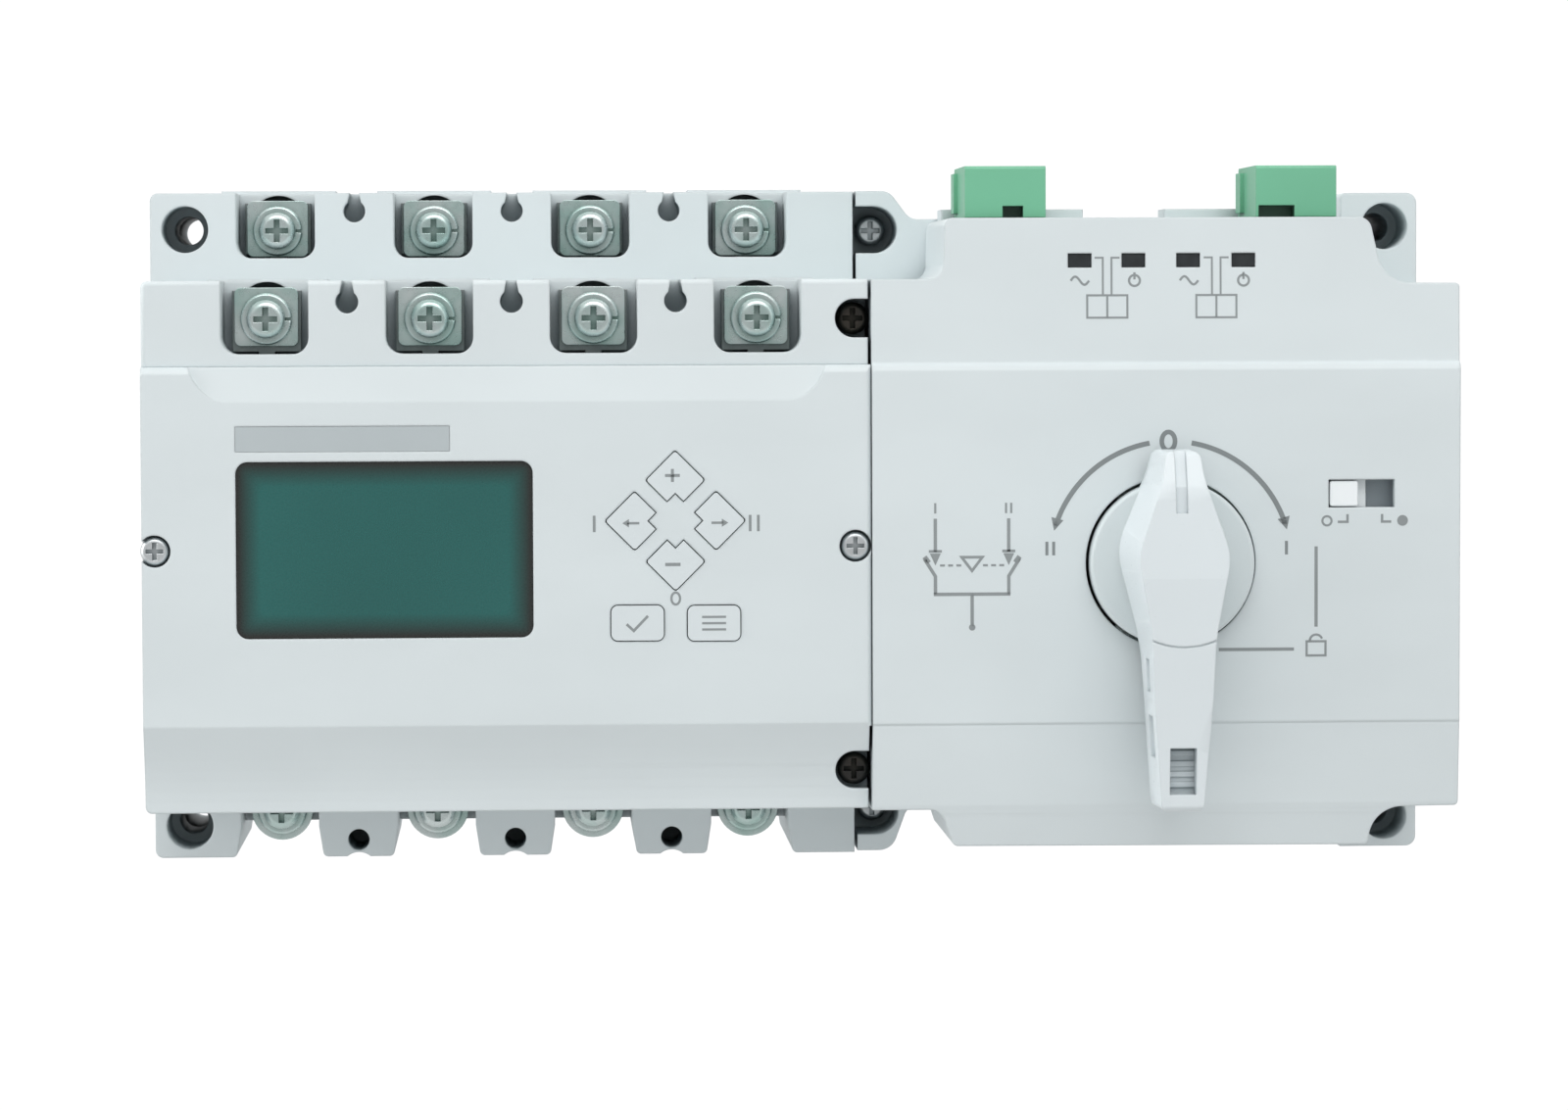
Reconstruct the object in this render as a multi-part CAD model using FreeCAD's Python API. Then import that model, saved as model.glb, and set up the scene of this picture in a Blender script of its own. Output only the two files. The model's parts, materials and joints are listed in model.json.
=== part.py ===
import FreeCAD, Part
import math
import os
from FreeCAD import Vector

# Four-pole automatic transfer switch: two stacked rotary switch decks on the left with a
# controller on their front, and a motor drive with a rotary handle on the right.
# Frame: +X right, +Z up, the front faces -Y. The back plane is Y = 0 and the origin is the
# centre of the four mounting holes. "Depth" is the distance in front of the back plane.

# ---- driving dimensions, millimetres ----
POLE_PITCH = 30.0
POLE_COUNT = 4
FIRST_POLE = -97.8
POLES = [FIRST_POLE + POLE_PITCH * i for i in range(POLE_COUNT)]
BARRIERS = [pole + POLE_PITCH / 2 for pole in POLES[:-1]]

MOUNT_X = 115.0
MOUNT_Z = 57.0
MOUNT_HOLE = 2.75
MOUNT_BORE = 4.45
MOUNT_FLOOR = 37.0
LIP_HALF = 11.0

REAR_LEFT = -121.6
REAR_TOP = 63.9
REAR_BOTTOM = -63.1
REAR_FACE = 50.0
FRONT_LEFT = -120.3
FRONT_TOP = 46.9
FRONT_BOTTOM = -50.6
SHELF_FACE = 94.3
DECK_RIGHT = 12.4

SHAFT_Z = -2.0
REAR_SHAFT = 24.0
FRONT_SHAFT = 68.0
SHAFT_R = 6.0
DRUM_R = 8.5
RUN_FIT = 0.05
SHAFT_LEFT = -118.0
SHAFT_RIGHT = 44.0

POCKET_HALF = 12.5
POCKET_TOP = 29.0
POCKET_BOTTOM = -46.0
WALL = 3.0
FRONT_WALL = 86.0

TONGUE_HALF = 1.5
TONGUE_GAP = 0.2
TONGUE_REACH = 10.5
TONGUE_DEPTH = 4.0
BLADE_REACH = 14.8
BLADE_HALF = 3.4
BLADE_INNER = 2.1
BLADE_OUTER = 3.8
OPEN_ANGLE = 45.0

PAD = 3.0
CLAMP = 1.5
SPRING = 1.2
HEAD = 2.8
HEAD_R = 3.5
WASHER_R = 4.7
CLAMP_HALF = 5.8
CLAMP_RISE = 5.8
CLAMP_DROP = 4.9
LINE_BORE = 5.6
LINE_BORE_RISE = 1.3
REAR_PAD = 36.5
FRONT_PAD = 82.5
REAR_LINE_Z = 56.8
FRONT_LINE_Z = 39.9
LOAD_Z = -54.8
SCREW_R = 2.5
LOAD_R = 5.9

STEP_Z = 31.2
LINE_Z = -35.1
FACE = 96.5
COVER_RIGHT = 12.85
SEAM_RECESS = 3.55
SEAM_BEVEL = 0.7
COVE_EDGE = 0.25
COVE_HEIGHT = 15.5
COVE_DROP = 4.1

DRIVE_LEFT = 13.0
DRIVE_RIGHT = 121.6
DRIVE_TOP = 58.0
EAR_TOP = 64.0
EAR_BOTTOM = -62.8
EAR_FACE = 50.0
EAR_BORE = 4.5
EAR_FLOOR = 36.0
BASE_TOP = 58.6
SKIN = 2.3

HANDLE_X = 67.9
HANDLE_Z = -5.4
HANDLE_SHAFT_R = 5.0
DIAL_R = 15.1
DIAL_GAP = 0.58
DIAL_FACE = 100.1
GRIP_TOP = 118.0
NOSE = 20.9
TAIL = 44.3
GRIP_FOOT = [(3.9, NOSE, 1.6), (5.2, 16.6, 30), (10.9, 3.0, 12), (6.2, -14.5, 40), (5.5, -24, 30),
             (4.7, -TAIL, 1.4)]
GRIP_CREST = [(2.9, NOSE, 1.6), (3.3, 16.5, 18), (8.3, 2.0, 10), (5.7, -12.5, 40), (5.3, -24, 30),
              (3.6, -TAIL, 1.4)]

PRESSURE_ANGLE = 25.0
RACK_MODULE = 1.5
HANDLE_TEETH = 12
SHAFT_TEETH = 24
DRIVE_MODULE = 0.8
WHEEL_TEETH = 48
MOTOR_TEETH = 16
BACKLASH = 0.24
HANDLE_PITCH_R = RACK_MODULE * HANDLE_TEETH / 2
SHAFT_PITCH_R = RACK_MODULE * SHAFT_TEETH / 2
MOTOR_ANGLE = -50.0
MOTOR_DISTANCE = DRIVE_MODULE * (WHEEL_TEETH + MOTOR_TEETH) / 2
MOTOR_X = HANDLE_X + MOTOR_DISTANCE * math.cos(math.radians(MOTOR_ANGLE))
MOTOR_Z = HANDLE_Z + MOTOR_DISTANCE * math.sin(math.radians(MOTOR_ANGLE))
PINION_X0 = 26.0
PINION_X1 = 34.0

PLUGS = {"left": 38.5, "right": 92.6}
BOARD = 59.8
PLUG_HALF = 7.5
PLUG_BACK = 62.0
PLUG_FRONT = 86.0
PLUG_TOP = 67.7
PLUG_NOTCH = {"left": (-0.5, 3.3), "right": (-7.0, -0.3)}

WINDOW = (-103.2, -49.1, -18.4, 13.9)
NAME_BAR = (-103.2, -64.2, 15.7, 20.35)
KEY_CENTRE_X = -23.1
KEY_CENTRE_Z = 2.8
KEY_SPACING = 7.45
KEY_DIAGONAL = 5.3
KEY_SLOT = 0.18
KEY_PROUD = 0.25
LAMPS = [51.4, 61.3, 71.4, 81.6]
LAMP_Z = 50.1


# ---- plain solids; every depth runs from the back plane towards the front ----
def block(x0, x1, z0, z1, d0, d1):
    return Part.makeBox(x1 - x0, d1 - d0, z1 - z0, Vector(x0, -d1, z0))


def rod_y(x, z, radius, d0, d1):
    return Part.makeCylinder(radius, d1 - d0, Vector(x, -d1, z), Vector(0, 1, 0))


def rod_x(depth, z, radius, x0, x1):
    return Part.makeCylinder(radius, x1 - x0, Vector(x0, -depth, z), Vector(1, 0, 0))


def rod_z(x, depth, radius, z0, z1):
    return Part.makeCylinder(radius, z1 - z0, Vector(x, -depth, z0), Vector(0, 0, 1))


def joined(shapes):
    shapes = list(shapes)
    if len(shapes) == 1:
        return shapes[0]
    return shapes[0].multiFuse(shapes[1:]).removeSplitter()


def cut(body, tools):
    return body.cut(Part.makeCompound(list(tools)))


def group(shapes):
    return Part.makeCompound(list(shapes))


def round_edges(body, radius, wanted):
    """Fillet the edges for which wanted(edge) is true."""
    edges = [edge for edge in body.Edges if wanted(edge)]
    return body.makeFillet(radius, edges)


def along(edge, axis):
    """True for a straight edge parallel to the axis."""
    if edge.Curve.TypeId != "Part::GeomLine":
        return False
    return abs(abs(edge.Curve.Direction.dot(axis)) - 1) < 1e-6


def at_depth(edge, depth):
    box = edge.BoundBox
    return abs(box.YMin + depth) < 1e-4 and abs(box.YMax + depth) < 1e-4


def front_plane(x, z):
    return Vector(x, 0, z)


def side_plane(z, depth):
    return Vector(0, -depth, z)


def rounded_wire(corners, plane=front_plane):
    """Closed wire through (a, b, radius) corners of a plane, joined by tangent arcs."""
    points = [plane(a, b) for a, b, radius in corners]
    count = len(points)
    spans = []
    for i in range(count):
        here = points[i]
        back = (points[i - 1] - here).normalize()
        ahead = (points[(i + 1) % count] - here).normalize()
        radius = corners[i][2]
        if radius == 0:
            spans.append((here, None, here))
            continue
        half = back.getAngle(ahead) / 2
        reach = radius / math.tan(half)
        bisector = (back + ahead).normalize()
        middle = here + bisector * (radius / math.sin(half) - radius)
        spans.append((here + back * reach, middle, here + ahead * reach))
    edges = []
    for i in range(count):
        start, middle, end = spans[i]
        if middle is not None:
            edges.append(Part.Arc(start, middle, end).toShape())
        following = spans[(i + 1) % count][0]
        if (following - end).Length > 1e-6:
            edges.append(Part.LineSegment(end, following).toShape())
    return Part.Wire(edges)


def outline(corners, d0, d1):
    """Solid with an XZ outline between two depths."""
    face = Part.Face(rounded_wire(corners))
    solid = face.extrude(Vector(0, d1 - d0, 0))
    solid.translate(Vector(0, -d1, 0))
    return solid


def profile(points, x0, x1):
    """Solid with a (z, depth) side profile between two X stations."""
    corners = [Vector(x0, -depth, z) for z, depth in points]
    wire = Part.makePolygon(corners + [corners[0]])
    return Part.Face(wire).extrude(Vector(x1 - x0, 0, 0))


def rounded_box(x0, x1, z0, z1, radius, d0, d1):
    return outline([(x0, z0, radius), (x1, z0, radius), (x1, z1, radius), (x0, z1, radius)], d0, d1)


# ---- gear teeth ----
def involute_gear(teeth, module, width, phase):
    """Spur gear on the Z axis, centred at the origin, with one tooth centred at the phase angle."""
    pressure = math.radians(PRESSURE_ANGLE)
    pitch_r = module * teeth / 2
    base_r = pitch_r * math.cos(pressure)
    tip_r = pitch_r + module
    root_r = pitch_r - 1.25 * module
    half_pitch = math.pi / (2 * teeth) - BACKLASH / (4 * pitch_r)
    involute = math.tan(pressure) - pressure
    steps = 6
    flank = []
    for i in range(steps + 1):
        radius = max(base_r, root_r) + (tip_r - max(base_r, root_r)) * i / steps
        roll = math.acos(min(1.0, base_r / radius))
        flank.append((radius, half_pitch + involute - (math.tan(roll) - roll)))
    if root_r < base_r:
        flank.insert(0, (root_r, flank[0][1]))
    points = []
    for tooth in range(teeth):
        centre = phase + 2 * math.pi * tooth / teeth
        for radius, angle in flank:
            points.append((radius, centre - angle))
        for radius, angle in reversed(flank):
            points.append((radius, centre + angle))
    corners = [Vector(r * math.cos(a), r * math.sin(a), 0) for r, a in points]
    return Part.Face(Part.makePolygon(corners + [corners[0]])).extrude(Vector(0, 0, width))


def rack_outline(length, module, count):
    """Points of a rack's teeth: position along the rack and height above the pitch line."""
    pitch = math.pi * module
    lean = math.tan(math.radians(PRESSURE_ANGLE))
    half = pitch / 4 - BACKLASH / 4
    points = [(-length / 2, -1.25 * module)]
    for i in range(count):
        centre = (i - (count - 1) / 2) * pitch
        points.append((centre - half - 1.25 * module * lean, -1.25 * module))
        points.append((centre - half + module * lean, module))
        points.append((centre + half - module * lean, module))
        points.append((centre + half + 1.25 * module * lean, -1.25 * module))
    points.append((length / 2, -1.25 * module))
    return points


def turn_to_y(solid, x, z, depth):
    """Stand a solid made on the Z axis along Y, its far end at the given depth, Z up kept up."""
    solid.rotate(Vector(0, 0, 0), Vector(1, 0, 0), 90)
    solid.translate(Vector(x, -depth, z))
    return solid


# ---- fasteners ----
def cross_slot(x, z, size, face, sink):
    return [
        block(x - size / 2, x + size / 2, z - size / 8, z + size / 8, face - sink, face + 1),
        block(x - size / 8, x + size / 8, z - size / 2, z + size / 2, face - sink, face + 1),
    ]


def pan_screw(x, z, head_r, head, shank_r, face, end):
    """Cross-recessed screw whose head's top is at the face depth."""
    cap = rod_y(x, z, head_r, face - head, face)
    cap = round_edges(cap, head * 0.45, lambda edge: at_depth(edge, face))
    screw = cap.fuse(rod_y(x, z, shank_r, end, face - head))
    return cut(screw, cross_slot(x, z, head_r * 1.25, face, head * 0.6)).removeSplitter()


def terminal_places():
    """Every power terminal: x, z and the depth of its pad's back."""
    for pole in POLES:
        yield pole, REAR_LINE_Z, REAR_PAD
        yield pole, FRONT_LINE_Z, FRONT_PAD
        yield pole, LOAD_Z, REAR_PAD


def terminal_screws():
    screws = []
    for x, z, pad in terminal_places():
        top = pad + PAD + CLAMP + SPRING + HEAD
        screws.append(pan_screw(x, z, HEAD_R, HEAD, SCREW_R, top, pad - 6))
    return group(screws)


def terminal_washers():
    """Clamp plate and split spring washer under every terminal screw."""
    washers = []
    for x, z, pad in terminal_places():
        base = pad + PAD
        top = base + CLAMP
        if z < 0:
            plate = rod_y(x, z, LOAD_R, base, top)
        else:
            plate = rounded_box(x - CLAMP_HALF, x + CLAMP_HALF, z - CLAMP_DROP, z + CLAMP_RISE, 1.2, base, top)
        washers.append(plate.cut(rod_y(x, z, SCREW_R + 0.1, base - 1, top + 1)))
        ring = rod_y(x, z, WASHER_R, top, top + SPRING)
        ring = round_edges(ring, 0.4, lambda edge, end=top + SPRING: at_depth(edge, end))
        ring = ring.cut(rod_y(x, z, SCREW_R + 0.1, base, top + 4))
        gap = block(x + 2, x + 6, z - 0.3, z + 0.3, top - 1, top + 4)
        washers.append(ring.cut(gap))
    return group(washers)


# ---- contact system ----
def line_terminal(pole, shaft_depth, pad, leg_z0, leg_z1, pad_z0, pad_z1, screw_z):
    """Copper pad in the bay with a tongue that reaches up to the blades from above."""
    tongue = block(
        pole - TONGUE_HALF, pole + TONGUE_HALF, SHAFT_Z + TONGUE_REACH, leg_z1,
        shaft_depth - TONGUE_DEPTH, shaft_depth + TONGUE_DEPTH,
    )
    leg = block(
        pole - TONGUE_HALF, pole + TONGUE_HALF, leg_z0, leg_z1,
        shaft_depth - TONGUE_DEPTH, pad + PAD,
    )
    plate = block(pole - 6.3, pole + 6.3, pad_z0, pad_z1, pad, pad + PAD)
    solid = joined([tongue, leg, plate])
    return solid.cut(rod_y(pole, screw_z, SCREW_R, pad - 1, pad + PAD + 1))


def rear_line_terminals():
    return group(
        line_terminal(pole, REAR_SHAFT, REAR_PAD, 46.0, 53.0, 52.4, 62.2, REAR_LINE_Z)
        for pole in POLES
    )


def front_line_terminals():
    return group(
        line_terminal(pole, FRONT_SHAFT, FRONT_PAD, 29.5, 35.0, 33.9, 45.2, FRONT_LINE_Z)
        for pole in POLES
    )


def load_terminals():
    """Copper pads with rounded ends, shared by both decks."""
    solids = []
    for pole in POLES:
        x0 = pole - TONGUE_HALF
        x1 = pole + TONGUE_HALF
        d0 = REAR_SHAFT - TONGUE_DEPTH
        tongue = block(x0, x1, -52.0, SHAFT_Z - TONGUE_REACH, d0, REAR_SHAFT + TONGUE_DEPTH)
        leg = block(x0, x1, -52.0, -42.5, d0, REAR_PAD + PAD)
        plate = block(pole - LOAD_R, pole + LOAD_R, LOAD_Z, -51.3, REAR_PAD, REAR_PAD + PAD)
        end = rod_y(pole, LOAD_Z, LOAD_R, REAR_PAD, REAR_PAD + PAD)
        solid = joined([tongue, leg, plate, end])
        solids.append(solid.cut(rod_y(pole, LOAD_Z, SCREW_R, REAR_PAD - 1, REAR_PAD + PAD + 1)))
    return group(solids)


def load_links():
    """Bars that join the front deck's lower contacts to the load terminals behind them."""
    solids = []
    for pole in POLES:
        x0 = pole - TONGUE_HALF
        x1 = pole + TONGUE_HALF
        tongue = block(
            x0, x1, -45.6, SHAFT_Z - TONGUE_REACH, FRONT_SHAFT - TONGUE_DEPTH,
            FRONT_SHAFT + TONGUE_DEPTH,
        )
        leg = block(x0, x1, -45.6, -42.5, REAR_PAD + PAD, FRONT_SHAFT + TONGUE_DEPTH)
        solids.append(joined([tongue, leg]))
    return group(solids)


def fixed_contact_tips():
    """Silver tips on both flanks of every tongue."""
    tips = []
    thick = 0.4
    for pole in POLES:
        for depth in (REAR_SHAFT, FRONT_SHAFT):
            for side in (-1, 1):
                x = pole + side * TONGUE_HALF
                x0, x1 = min(x, x + side * thick), max(x, x + side * thick)
                for z0 in (SHAFT_Z + TONGUE_REACH, SHAFT_Z - TONGUE_REACH - 4):
                    tips.append(block(x0, x1, z0, z0 + 4, depth - 3, depth + 3))
    return group(tips)


def blade(pole, depth, side):
    """One moving blade, made in the closed position and turned open."""
    x0 = pole + (BLADE_INNER if side > 0 else -BLADE_OUTER)
    x1 = pole + (BLADE_OUTER if side > 0 else -BLADE_INNER)
    plate = block(
        x0, x1, SHAFT_Z - BLADE_REACH, SHAFT_Z + BLADE_REACH, depth - BLADE_HALF,
        depth + BLADE_HALF,
    )
    plate = round_edges(plate, 2.6, lambda edge: along(edge, Vector(1, 0, 0)))
    plate.rotate(Vector(0, -depth, SHAFT_Z), Vector(1, 0, 0), -OPEN_ANGLE)
    return plate


def moving_blades(depth):
    return group(blade(pole, depth, side) for pole in POLES for side in (-1, 1))


def contact_shaft(depth):
    """Insulating shaft with a drum at every pole, slotted for the blades."""
    shaft = rod_x(depth, SHAFT_Z, SHAFT_R, SHAFT_LEFT, SHAFT_RIGHT)
    drums = [rod_x(depth, SHAFT_Z, DRUM_R, pole - 6.5, pole + 6.5) for pole in POLES]
    return cut(joined([shaft] + drums), [moving_blades(depth)])


def blade_springs(depth):
    """Leaf springs outside each blade pair that press the blades on the tongues."""
    solids = []
    for pole in POLES:
        for side in (-1, 1):
            near = pole + side * BLADE_OUTER
            far = near + side * 0.6
            for z0 in (SHAFT_Z + DRUM_R + 0.1, SHAFT_Z - DRUM_R - 5.1):
                leaf = block(min(near, far), max(near, far), z0, z0 + 5, depth - 1.6, depth + 1.6)
                leaf.rotate(Vector(0, -depth, SHAFT_Z), Vector(1, 0, 0), -OPEN_ANGLE)
                solids.append(leaf)
    return group(solids)


def arc_chutes(depth):
    """Splitter plates beside each break, across the pocket from wall to wall."""
    plates = []
    thick = 1.0
    for pole in POLES:
        for i in range(4):
            reach = 17.0 + 3.0 * i
            for z0, d0, d1, mouth in (
                (SHAFT_Z + reach, depth - 14.0, depth - 4.6, depth - 4.6),
                (SHAFT_Z - reach - thick, depth + 4.6, depth + 14.0, depth + 4.6),
            ):
                plate = block(pole - POCKET_HALF, pole + POCKET_HALF, z0, z0 + thick, d0, d1)
                notch = rod_z(pole, mouth, 4.0, z0 - 1, z0 + 2)
                plates.append(plate.cut(notch))
    return group(plates)


def shaft_pinion(depth, toward_front):
    """Gear on a contact shaft; the rack passes on its front or its back."""
    sign = -1 if toward_front else 1
    width = PINION_X1 - PINION_X0
    phase = math.pi / SHAFT_TEETH
    gear = involute_gear(SHAFT_TEETH, RACK_MODULE, width, phase)
    gear.rotate(Vector(0, 0, 0), Vector(0, 1, 0), 90)
    gear.rotate(Vector(0, 0, 0), Vector(1, 0, 0), 90 * sign)
    gear.translate(Vector(PINION_X0, -depth, SHAFT_Z))
    hub = rod_x(depth, SHAFT_Z, 9.0, PINION_X0 - 3, PINION_X0)
    shaft = rod_x(depth, SHAFT_Z, SHAFT_R, PINION_X0 - 4, PINION_X1 + 1)
    lighten = [
        rod_x(depth + 11.2 * math.cos(a), SHAFT_Z + 11.2 * math.sin(a), 2.4, PINION_X0, PINION_X1)
        for a in [math.pi * (0.25 + 0.5 * i) for i in range(4)]
    ]
    return cut(joined([gear, hub]), [shaft] + lighten)


def shaft_bushes():
    """Plain bearings for both shafts, in the deck's end wall and in the bearing bracket."""
    bushes = []
    for depth in (REAR_SHAFT, FRONT_SHAFT):
        for x0, x1 in ((6.4, DECK_RIGHT), (38.0, 42.0)):
            ring = rod_x(depth, SHAFT_Z, 8.0, x0, x1)
            bushes.append(ring.cut(rod_x(depth, SHAFT_Z, SHAFT_R + RUN_FIT, x0 - 1, x1 + 1)))
    return group(bushes)


# ---- switch decks ----
def deck_cavities(depth, d0, d1, leg_z0, leg_z1, leg_end):
    """What both halves of a deck leave open: pockets, shaft bores, bush seats and tongue slots."""
    tools = [
        rod_x(depth, SHAFT_Z, SHAFT_R + RUN_FIT, SHAFT_LEFT - 0.5, DECK_RIGHT + 1),
        rod_x(depth, SHAFT_Z, 8.0, 6.4, DECK_RIGHT + 1),
    ]
    for pole in POLES:
        x0 = pole - TONGUE_HALF - TONGUE_GAP
        x1 = pole + TONGUE_HALF + TONGUE_GAP
        tools.append(block(pole - POCKET_HALF, pole + POCKET_HALF, POCKET_BOTTOM, POCKET_TOP, d0, d1))
        tools.append(block(x0, x1, 28.0, leg_z1 + 0.2, depth - TONGUE_DEPTH - 0.2,
                           depth + TONGUE_DEPTH + 0.2))
        tools.append(block(x0, x1, leg_z0 - 0.2, leg_z1 + 0.2, depth - TONGUE_DEPTH - 0.2, leg_end))
    return tools


def load_slots():
    """Slots for the load terminals' legs and for the load links between the decks."""
    tools = []
    for pole in POLES:
        x0 = pole - TONGUE_HALF - TONGUE_GAP
        x1 = pole + TONGUE_HALF + TONGUE_GAP
        tools.append(block(x0, x1, -52.2, -42.0, REAR_SHAFT - TONGUE_DEPTH - 0.2, REAR_PAD + PAD + 0.2))
        tools.append(block(x0, x1, -45.8, -42.3, REAR_PAD + PAD, FRONT_SHAFT - TONGUE_DEPTH))
    return tools


def keyhole(x, z, top, d0, d1):
    """Round barrier hole with a slot that tapers to the edge above it."""
    slot = outline(
        [(x - 1.5, z + 0.8, 0), (x + 1.5, z + 0.8, 0), (x + 0.7, top + 1, 0), (x - 0.7, top + 1, 0)],
        d0, d1,
    )
    return [rod_y(x, z, 2.1, d0, d1), slot]


def foot_hole(x):
    """Round hole in a foot, over a shallow notch in the foot's lower edge."""
    hole = rod_y(x, -59.9, 2.05, REAR_FACE - 16, REAR_FACE + 1)
    return [hole, rod_y(x, REAR_BOTTOM - 2.6, 3.4, -1, REAR_FACE + 1)]


def rear_deck_blank(d0, d1):
    """Rear deck outline with the feet between the load bays."""
    corners = [(REAR_LEFT, REAR_TOP, 1.5), (REAR_LEFT, REAR_BOTTOM, 1.5)]
    for pole in POLES:
        corners += [
            (pole - 8.3, REAR_BOTTOM, 1.0), (pole - 7.4, -57.3, 0.0),
            (pole + 7.4, -57.3, 0.0), (pole + 8.3, REAR_BOTTOM, 1.0),
        ]
    corners += [(DECK_RIGHT, REAR_BOTTOM, 0.0), (DECK_RIGHT, REAR_TOP, 0.0)]
    return outline(corners, d0, d1)


def deck_bolt_places():
    return [(-115.3, -38.0), (-115.3, 24.0), (8.4, -30.0), (8.4, 24.0)]


def rear_deck_cuts():
    tools = deck_cavities(REAR_SHAFT, WALL, REAR_FACE - WALL, 46.0, 53.0, REAR_PAD + PAD + 0.2)
    tools += load_slots()
    for side in (-1, 1):
        z = side * MOUNT_Z
        tools.append(rod_y(-MOUNT_X, z, MOUNT_BORE, MOUNT_FLOOR, REAR_FACE + 1))
        tools.append(rod_y(-MOUNT_X, z, MOUNT_HOLE, -1, MOUNT_FLOOR + 1))
    for pole in POLES:
        tools.append(outline(
            [(pole - 7.5, REAR_TOP + 5, 0), (pole - 7.5, 51.5, 2.8), (pole + 7.5, 51.5, 2.8),
             (pole + 7.5, REAR_TOP + 5, 0)], REAR_PAD, REAR_FACE + 1,
        ))
        tools.append(rod_y(pole, REAR_LINE_Z + LINE_BORE_RISE, LINE_BORE, REAR_PAD - 7, REAR_PAD + 1))
        tools.append(block(pole - 7.4, pole + 7.4, -60, LOAD_Z + LOAD_R + 0.3, REAR_PAD, REAR_FACE + 1))
        tools.append(rod_y(pole, LOAD_Z, SCREW_R + 0.2, REAR_PAD - 7, REAR_PAD + 1))
    for x in BARRIERS:
        tools += keyhole(x, 60.4, REAR_TOP, 40, REAR_FACE + 1)
        tools += foot_hole(x)
    for x, z in deck_bolt_places():
        tools.append(rod_y(x, z, 1.9, 8, REAR_FACE + 1))
    return tools


def rear_deck_base():
    return cut(rear_deck_blank(0, REAR_SHAFT), rear_deck_cuts())


def lips(top, rise, d0, d1):
    """Low ribs along the top of a deck, one behind each bay."""
    return [block(pole - LIP_HALF, pole + LIP_HALF, top - 2, top + rise, d0, d1) for pole in POLES]


def rear_deck_cover():
    blank = joined([rear_deck_blank(REAR_SHAFT, REAR_FACE)] + lips(REAR_TOP, 0.7, 27.0, 35.5))
    return cut(blank, rear_deck_cuts())


def seam_screw_places():
    return [(9.9, 39.7), (9.8, -43.4)]


def cover_screw_places():
    return [(-118.0, -2.3), (9.9, -2.0)]


def ear_screw_places():
    return [(16.5, 56.6), (16.5, -55.2)]


def front_deck_cuts():
    tools = deck_cavities(
        FRONT_SHAFT, REAR_FACE + WALL, FRONT_WALL - 2, 29.5, 35.0, FRONT_PAD + PAD + 0.2,
    )
    tools += load_slots()
    for pole in POLES:
        tools.append(outline(
            [(pole - 8, FRONT_TOP + 5, 0), (pole - 8, 33.5, 3), (pole + 8, 33.5, 3),
             (pole + 8, FRONT_TOP + 5, 0)], FRONT_PAD, SHELF_FACE + 1,
        ))
        tools.append(rod_y(pole, FRONT_LINE_Z + LINE_BORE_RISE, LINE_BORE, FRONT_PAD - 7, FRONT_PAD + 1))
    for x in BARRIERS:
        tools += keyhole(x, 43.0, FRONT_TOP, 82, SHELF_FACE + 1)
    for x, z in deck_bolt_places():
        tools.append(rod_y(x, z, 1.9, REAR_FACE - 1, FRONT_WALL))
        tools.append(rod_y(x, z, 3.6, FRONT_WALL - 4, FRONT_WALL + 1))
    for x, z in cover_screw_places():
        tools.append(rod_y(x, z, 1.5, 74, FRONT_WALL + 1))
    for x, z in seam_screw_places():
        tools.append(rod_y(x, z, 1.6, 72, FRONT_WALL + 1))
    x, z = seam_screw_places()[0]
    tools.append(rod_y(x, z, SEAM_RECESS, 86, SHELF_FACE + 1))
    tools.append(block(x, DECK_RIGHT + 1, z - SEAM_RECESS, z + SEAM_RECESS, 86, SHELF_FACE + 1))
    return tools


def front_deck_base():
    blank = outline(
        [(FRONT_LEFT, FRONT_TOP, 1.2), (FRONT_LEFT, FRONT_BOTTOM, 1.2),
         (DECK_RIGHT, FRONT_BOTTOM, 0), (DECK_RIGHT, FRONT_TOP, 0)], REAR_FACE, FRONT_SHAFT,
    )
    return cut(blank, front_deck_cuts())


def front_deck_cover():
    blank = outline(
        [(FRONT_LEFT, FRONT_TOP, 1.2), (FRONT_LEFT, FRONT_BOTTOM, 1.2),
         (DECK_RIGHT, FRONT_BOTTOM, 0), (DECK_RIGHT, FRONT_TOP, 0)], FRONT_SHAFT, FRONT_WALL,
    )
    shelf = outline(
        [(FRONT_LEFT, FRONT_TOP, 1.2), (FRONT_LEFT, STEP_Z, 0), (DECK_RIGHT, STEP_Z, 0),
         (DECK_RIGHT, FRONT_TOP, 0)], FRONT_WALL - 1, SHELF_FACE,
    )
    shelf = round_edges(shelf, 0.8, lambda edge: at_depth(edge, SHELF_FACE)
                        and edge.BoundBox.ZMin > STEP_Z + 1 and along(edge, Vector(1, 0, 0)))
    blank = joined([blank, shelf] + lips(FRONT_TOP, 0.35, 70.0, 81.5))
    return cut(blank, front_deck_cuts()).removeSplitter()


def deck_bolts():
    bolts = []
    for x, z in deck_bolt_places():
        bolts.append(pan_screw(x, z, 3.4, 2.8, 1.85, FRONT_WALL - 1.0, 10))
    return group(bolts)


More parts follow.
